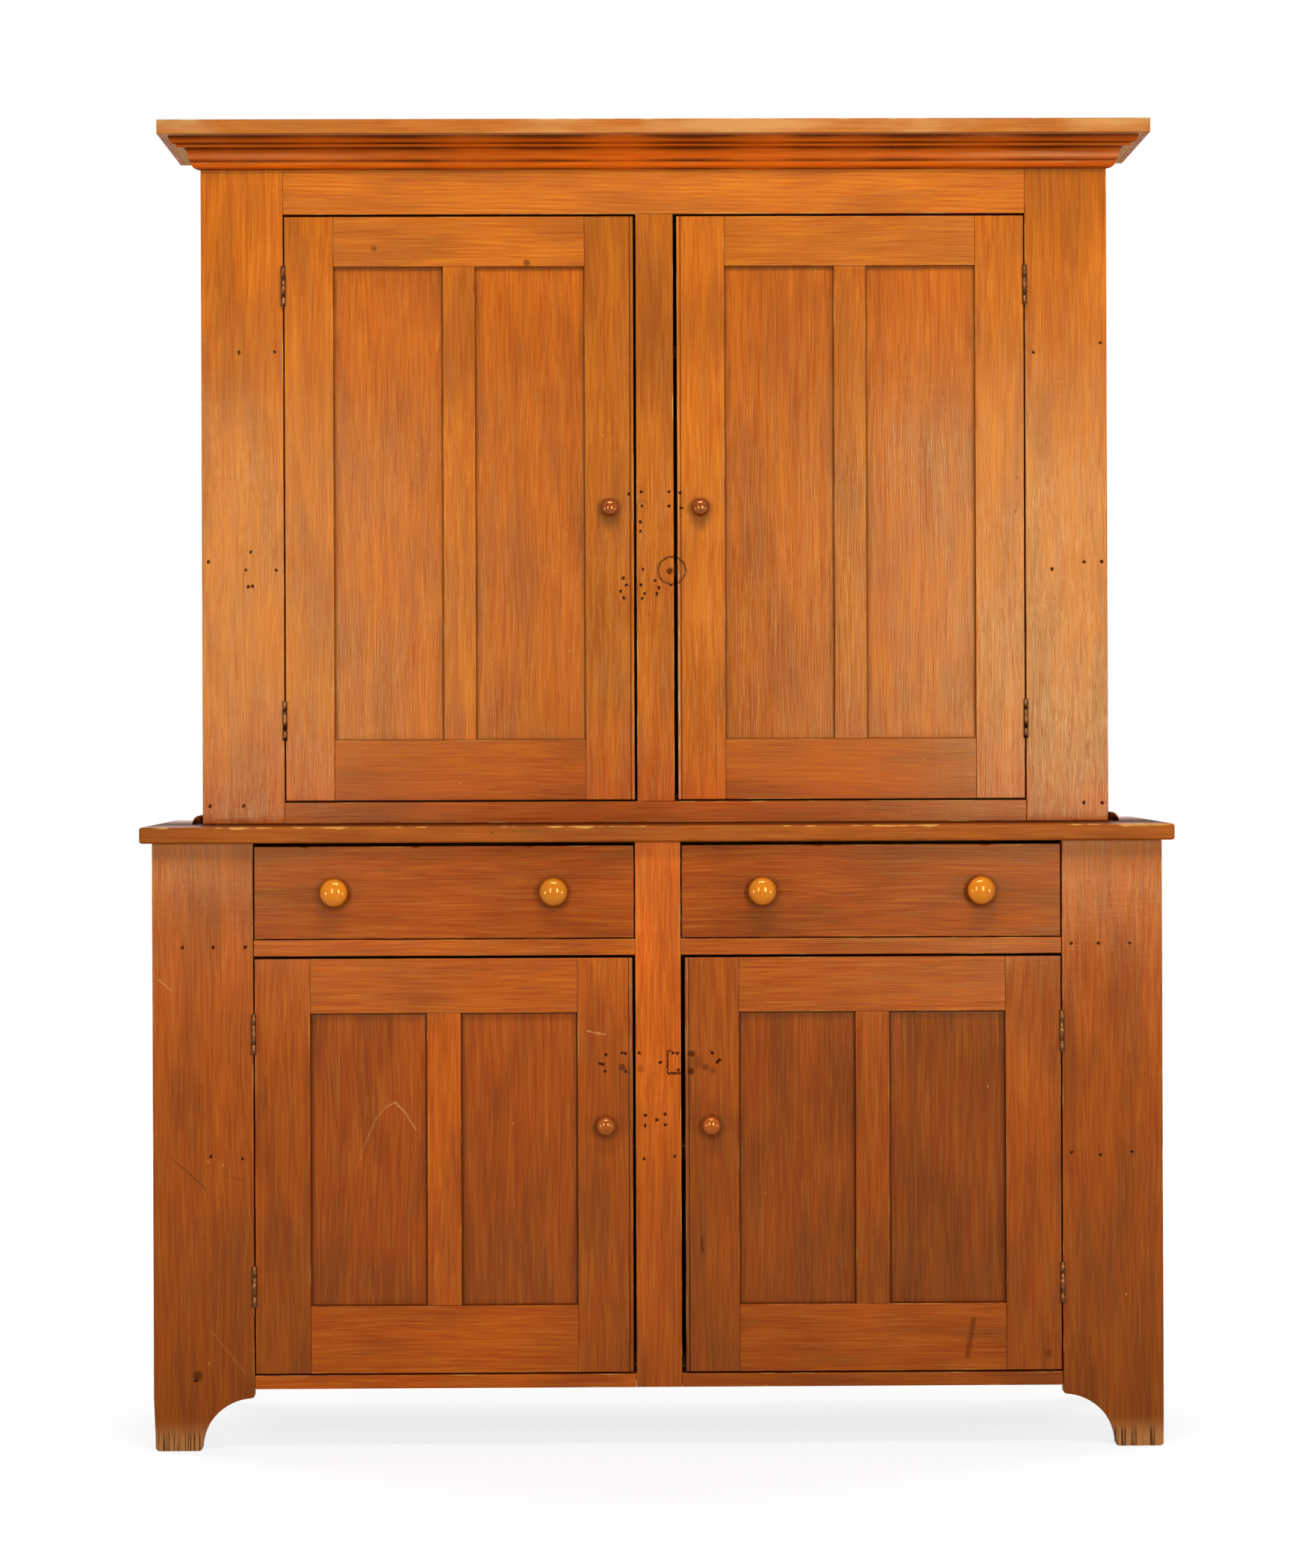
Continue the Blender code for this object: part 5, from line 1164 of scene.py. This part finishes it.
for case, sizes in DOOR_SIZES.items():
    for side, sign in (("left", -1), ("right", 1)):
        door = f"door_{case}_{side}"
        low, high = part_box(f"{door}_frame")
        front = (low.y, high.y)
        near, far = sorted((abs(low.x), abs(high.x)))
        bottom = low.z + FOOT_PLANED
        top = high.z - TOP_PLANED
        shared = {"body": door, "nodes": [f"{door}_frame"], "slot": f"{case}_door_wood",
                  "soil_and_shade": (EDGE_DIRT_AND_SHADE, EDGE_DIRT_AND_SHADE)}
        panel_side = {1: 1, -1: 3}
        half = (sizes["stile"] - HINGE_PLANED) / 2
        hang = {panel_side[-sign]: groove(half, panel_side[-sign])}
        half = (sizes["stile"] - LOCK_PLANED[door]) / 2
        lock = {panel_side[sign]: groove(half, panel_side[sign]), 0: quirk(half, -sign)}
        planed = sign * (near + LOCK_PLANED[door])
        board(f"{door}_lock_stile", (planed, sign * (near + sizes["stile"])), front, (bottom, top), "Z",
              extra=lock, **shared)
        board(f"{door}_hinge_stile", (sign * (far - sizes["stile"]), sign * (far - HINGE_PLANED)), front,
              (bottom, top), "Z", extra=hang, **shared)
        rail = (sign * (near + sizes["stile"] + JOINT), sign * (far - sizes["stile"] - JOINT))
        board(f"{door}_top_rail", rail, front, (high.z - sizes["top"], top), "X", figure=RAIL_FIGURE,
              extra={3: groove((sizes["top"] - TOP_PLANED) / 2, 3)}, **shared)
        board(f"{door}_bottom_rail", rail, front, (bottom, low.z + sizes["bottom"]), "X", figure=RAIL_FIGURE,
              extra={1: groove((sizes["bottom"] - FOOT_PLANED) / 2, 1)}, **shared)
        middle = sign * (near + far) / 2
        half = sizes["muntin"] / 2
        board(f"{door}_muntin", (middle - half, middle + half), front,
              (low.z + sizes["bottom"] + JOINT, high.z - sizes["top"] - JOINT), "Z",
              extra={1: groove(half, 1), 3: groove(half, 3)}, **shared)
        for which in ("inner", "outer"):
            panel(f"{door}_panel_{which}", door, f"{case}_panel_wood")
print("doors: 4, each of 5 boards and 2 panels")

# %% [markdown]
# ## Drawers
# The fronts lie flush in their openings, with small notches knocked into their upper edges. The boxes
# behind are bare wood; their dovetails show on the ends of the fronts when a drawer is open. The frame
# has the dovetails already, so a box takes the frame's own shape, and only gets its grain here.

# %% Drawers
TAIL_SHOW = 0.0008            # how far the tails stand out from the ends of the front
TOP_WORN = 0.0010
WELD = 1e-6                   # points closer than this are one
FLATNESS = 0.01               # faces that turn less than this are one
NOTCHES = {"left": (-0.219, -0.044, 0.132), "right": (-0.083, 0.179)}
NOTCH_REACH = 0.005
NOTCH_DEPTH = 0.004


def cad_boards(name, order, body, node, slot):
    """A piece with a node's own shape. order says which axes run across, through and along its grain."""
    form = bmesh.new()
    form.from_mesh(frame["nodes"][node].data)
    bmesh.ops.remove_doubles(form, verts=form.verts, dist=WELD)
    bmesh.ops.dissolve_limit(form, angle_limit=FLATNESS, verts=form.verts, edges=form.edges)
    low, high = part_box(node)
    centre = (low + high) / 2
    half = (high - low) / 2
    places = [tuple((v.co - centre)[i] for i in order) for v in form.verts]
    made = piece(name, form, places, [half[i] for i in order], body, [node], slot)
    made.modifiers.clear()
    made.data.shade_flat()
    return made


for side in ("left", "right"):
    body = f"drawer_{side}"
    low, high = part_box(f"{body}_front")
    board(f"{body}_front_board", (low.x + TAIL_SHOW, high.x - TAIL_SHOW), (low.y, high.y),
          (low.z, high.z - TOP_WORN), "X", body, [f"{body}_front"], "drawer_front_wood", step=0.006,
          soil_and_shade=(EDGE_DIRT_AND_SHADE, EDGE_DIRT_AND_SHADE), knocks=[(1, at, NOTCH_REACH, NOTCH_DEPTH) for at in NOTCHES[side]])
    cad_boards(f"{body}_box_boards", (2, 0, 1), body, f"{body}_box", "drawer_inner_wood")
    cad_boards(f"{body}_bottom_boards", (1, 2, 0), body, f"{body}_bottom", "drawer_inner_wood")
cad_boards("drawer_board_boards", (1, 2, 0), "case", "drawer_board", "inner_wood")
print("drawers: 2")

# %% [markdown]
# ## Knobs
# The knobs are turned on a lathe: a mushroom head on a waisted stem. A profile turned round its axis is
# how they were made, and how they are made here. The small ones on the upper doors are dark with hands
# and old varnish, the large ones on the drawers are golden maple.

# %% Knobs
KNOB_STEPS = 48
KNOBS = {
    "door": {"radius": 0.0148, "length": 0.027, "dome": 0.0097, "neck": 0.0067, "foot": 0.0077},
    "drawer": {"radius": 0.022, "length": 0.036, "dome": 0.013, "neck": 0.0100, "foot": 0.0115},
}
HEAD_STEPS = 18
HEAD_TURN = -55               # degrees below the rim where the head begins
STEM_STEPS = 8
TIP = 0.0004
RIM_DIRT_AND_SHADE = 0.003              # how far dirt and painted shade reach in front of a knob's rim
KNOB_HALF = (0.1, 0.1, 0.1)   # far larger than a knob, so that no part of it counts as an edge


def knob_profile(radius, length, dome, neck, foot):
    """(radius, height above the face) points from the foot to the tip."""
    head = []
    for i in range(HEAD_STEPS + 1):
        angle = math.radians(HEAD_TURN + (90 - HEAD_TURN) * i / HEAD_STEPS)
        head.append((max(TIP, radius * math.cos(angle)), length - dome + dome * math.sin(angle)))
    stem = []
    for i in range(STEM_STEPS):
        share = i / STEM_STEPS
        pinch = math.sin(math.pi * share)
        straight = foot + (head[0][0] - foot) * share ** 2
        stem.append((straight + (neck - foot) * pinch, SEAT + (head[0][1] - SEAT) * share))
    return stem + head


knob_nodes = [name for name in frame["nodes"] if "knob" in name]
for name in knob_nodes:
    kind = "drawer" if name.startswith("drawer") else "door"
    body = name.split("_knob")[0]
    low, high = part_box(name)
    centre = (low + high) / 2
    profile = knob_profile(**KNOBS[kind])
    base = low.y + KNOBS[kind]["length"]
    rim = KNOBS[kind]["length"] - KNOBS[kind]["dome"]
    rings = []
    places = []
    dirt_and_shade = []
    for radius, height in profile:
        # The rim of the head gets dirt and painted shade.
        dirt_and_shade += [min(1.0, max(0.0, (rim + RIM_DIRT_AND_SHADE - height) / RIM_DIRT_AND_SHADE))] * KNOB_STEPS
        angles = [2 * math.pi * i / KNOB_STEPS for i in range(KNOB_STEPS)]
        ring = [Vector((radius * math.cos(a), -height, radius * math.sin(a))) for a in angles]
        places += [tuple(point) for point in ring]
        rings.append([point + Vector((centre.x, base, centre.z)) for point in ring])
    slot = f"{kind}_knob_wood"
    wood = finishes["upper_knob_wood"] if "upper" in name else finishes[slot]
    turned = piece(f"{name}_turned", skin(rings), places, KNOB_HALF, body, [name], slot, wood, dirt_and_shade)
    turned.modifiers.clear()
print("knobs:", len(knob_nodes))

# %% [markdown]
# ## Hinge steel
# The butt hinges are plain steel that has gone brown: a dull metal, darker where rust and old varnish
# sit, a little brighter where the barrels are rubbed. Their leaves and barrels are already right in the
# frame, so each leaf takes that shape and gets the steel and sharp edges here.

# %% Hinges
BARREL_CREASE = math.radians(35)
RUST_BLOTCHES = 260.0         # in a metre: each is about 4 mm wide

steel = bpy.data.materials.new("browned_steel_hinges")
steel.use_nodes = True
tree = steel.node_tree
rest = add(tree, "ShaderNodeTexCoord")["Object"]
rust = add(tree, NOISE, {"Vector": rest, "Scale": RUST_BLOTCHES, "Detail": 4.0, "Roughness": 0.65})["Fac"]
rust = add(tree, RANGE, {"Value": rust, "From Min": 0.35, "From Max": 0.65})[0]
colour = add(tree, MIX, {0: rust, 6: linear("8C5E3A"), 7: linear("4A2A14")}, data_type="RGBA")[2]
rough = add(tree, RANGE, {"Value": rust, "To Min": 0.30, "To Max": 0.50})[0]
shader = tree.nodes["Principled BSDF"]
shader.inputs["Metallic"].default_value = 1.0
tree.links.new(colour, shader.inputs["Base Color"])
tree.links.new(rough, shader.inputs["Roughness"])
hinge_nodes = [name for name in frame["nodes"] if name.startswith("hinge_")]
for name in hinge_nodes:
    # hinge_upper_left_top_door_leaf rides on door_upper_left, and its other leaf on the case.
    body = f"door_{name[6:].rsplit('_', 3)[0]}" if name.endswith("door_leaf") else "case"
    form = bmesh.new()
    form.from_mesh(frame["nodes"][name].data)
    bmesh.ops.remove_doubles(form, verts=form.verts, dist=WELD)
    low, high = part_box(name)
    places = [tuple(v.co - low) for v in form.verts]
    leaf = piece(f"{name}_steel", form, places, high - low, body, [name], "hinge_metal", steel)
    leaf.modifiers.clear()
    leaf.data.set_sharp_from_angle(angle=BARREL_CREASE)
print("hinge leaves:", len(hinge_nodes))
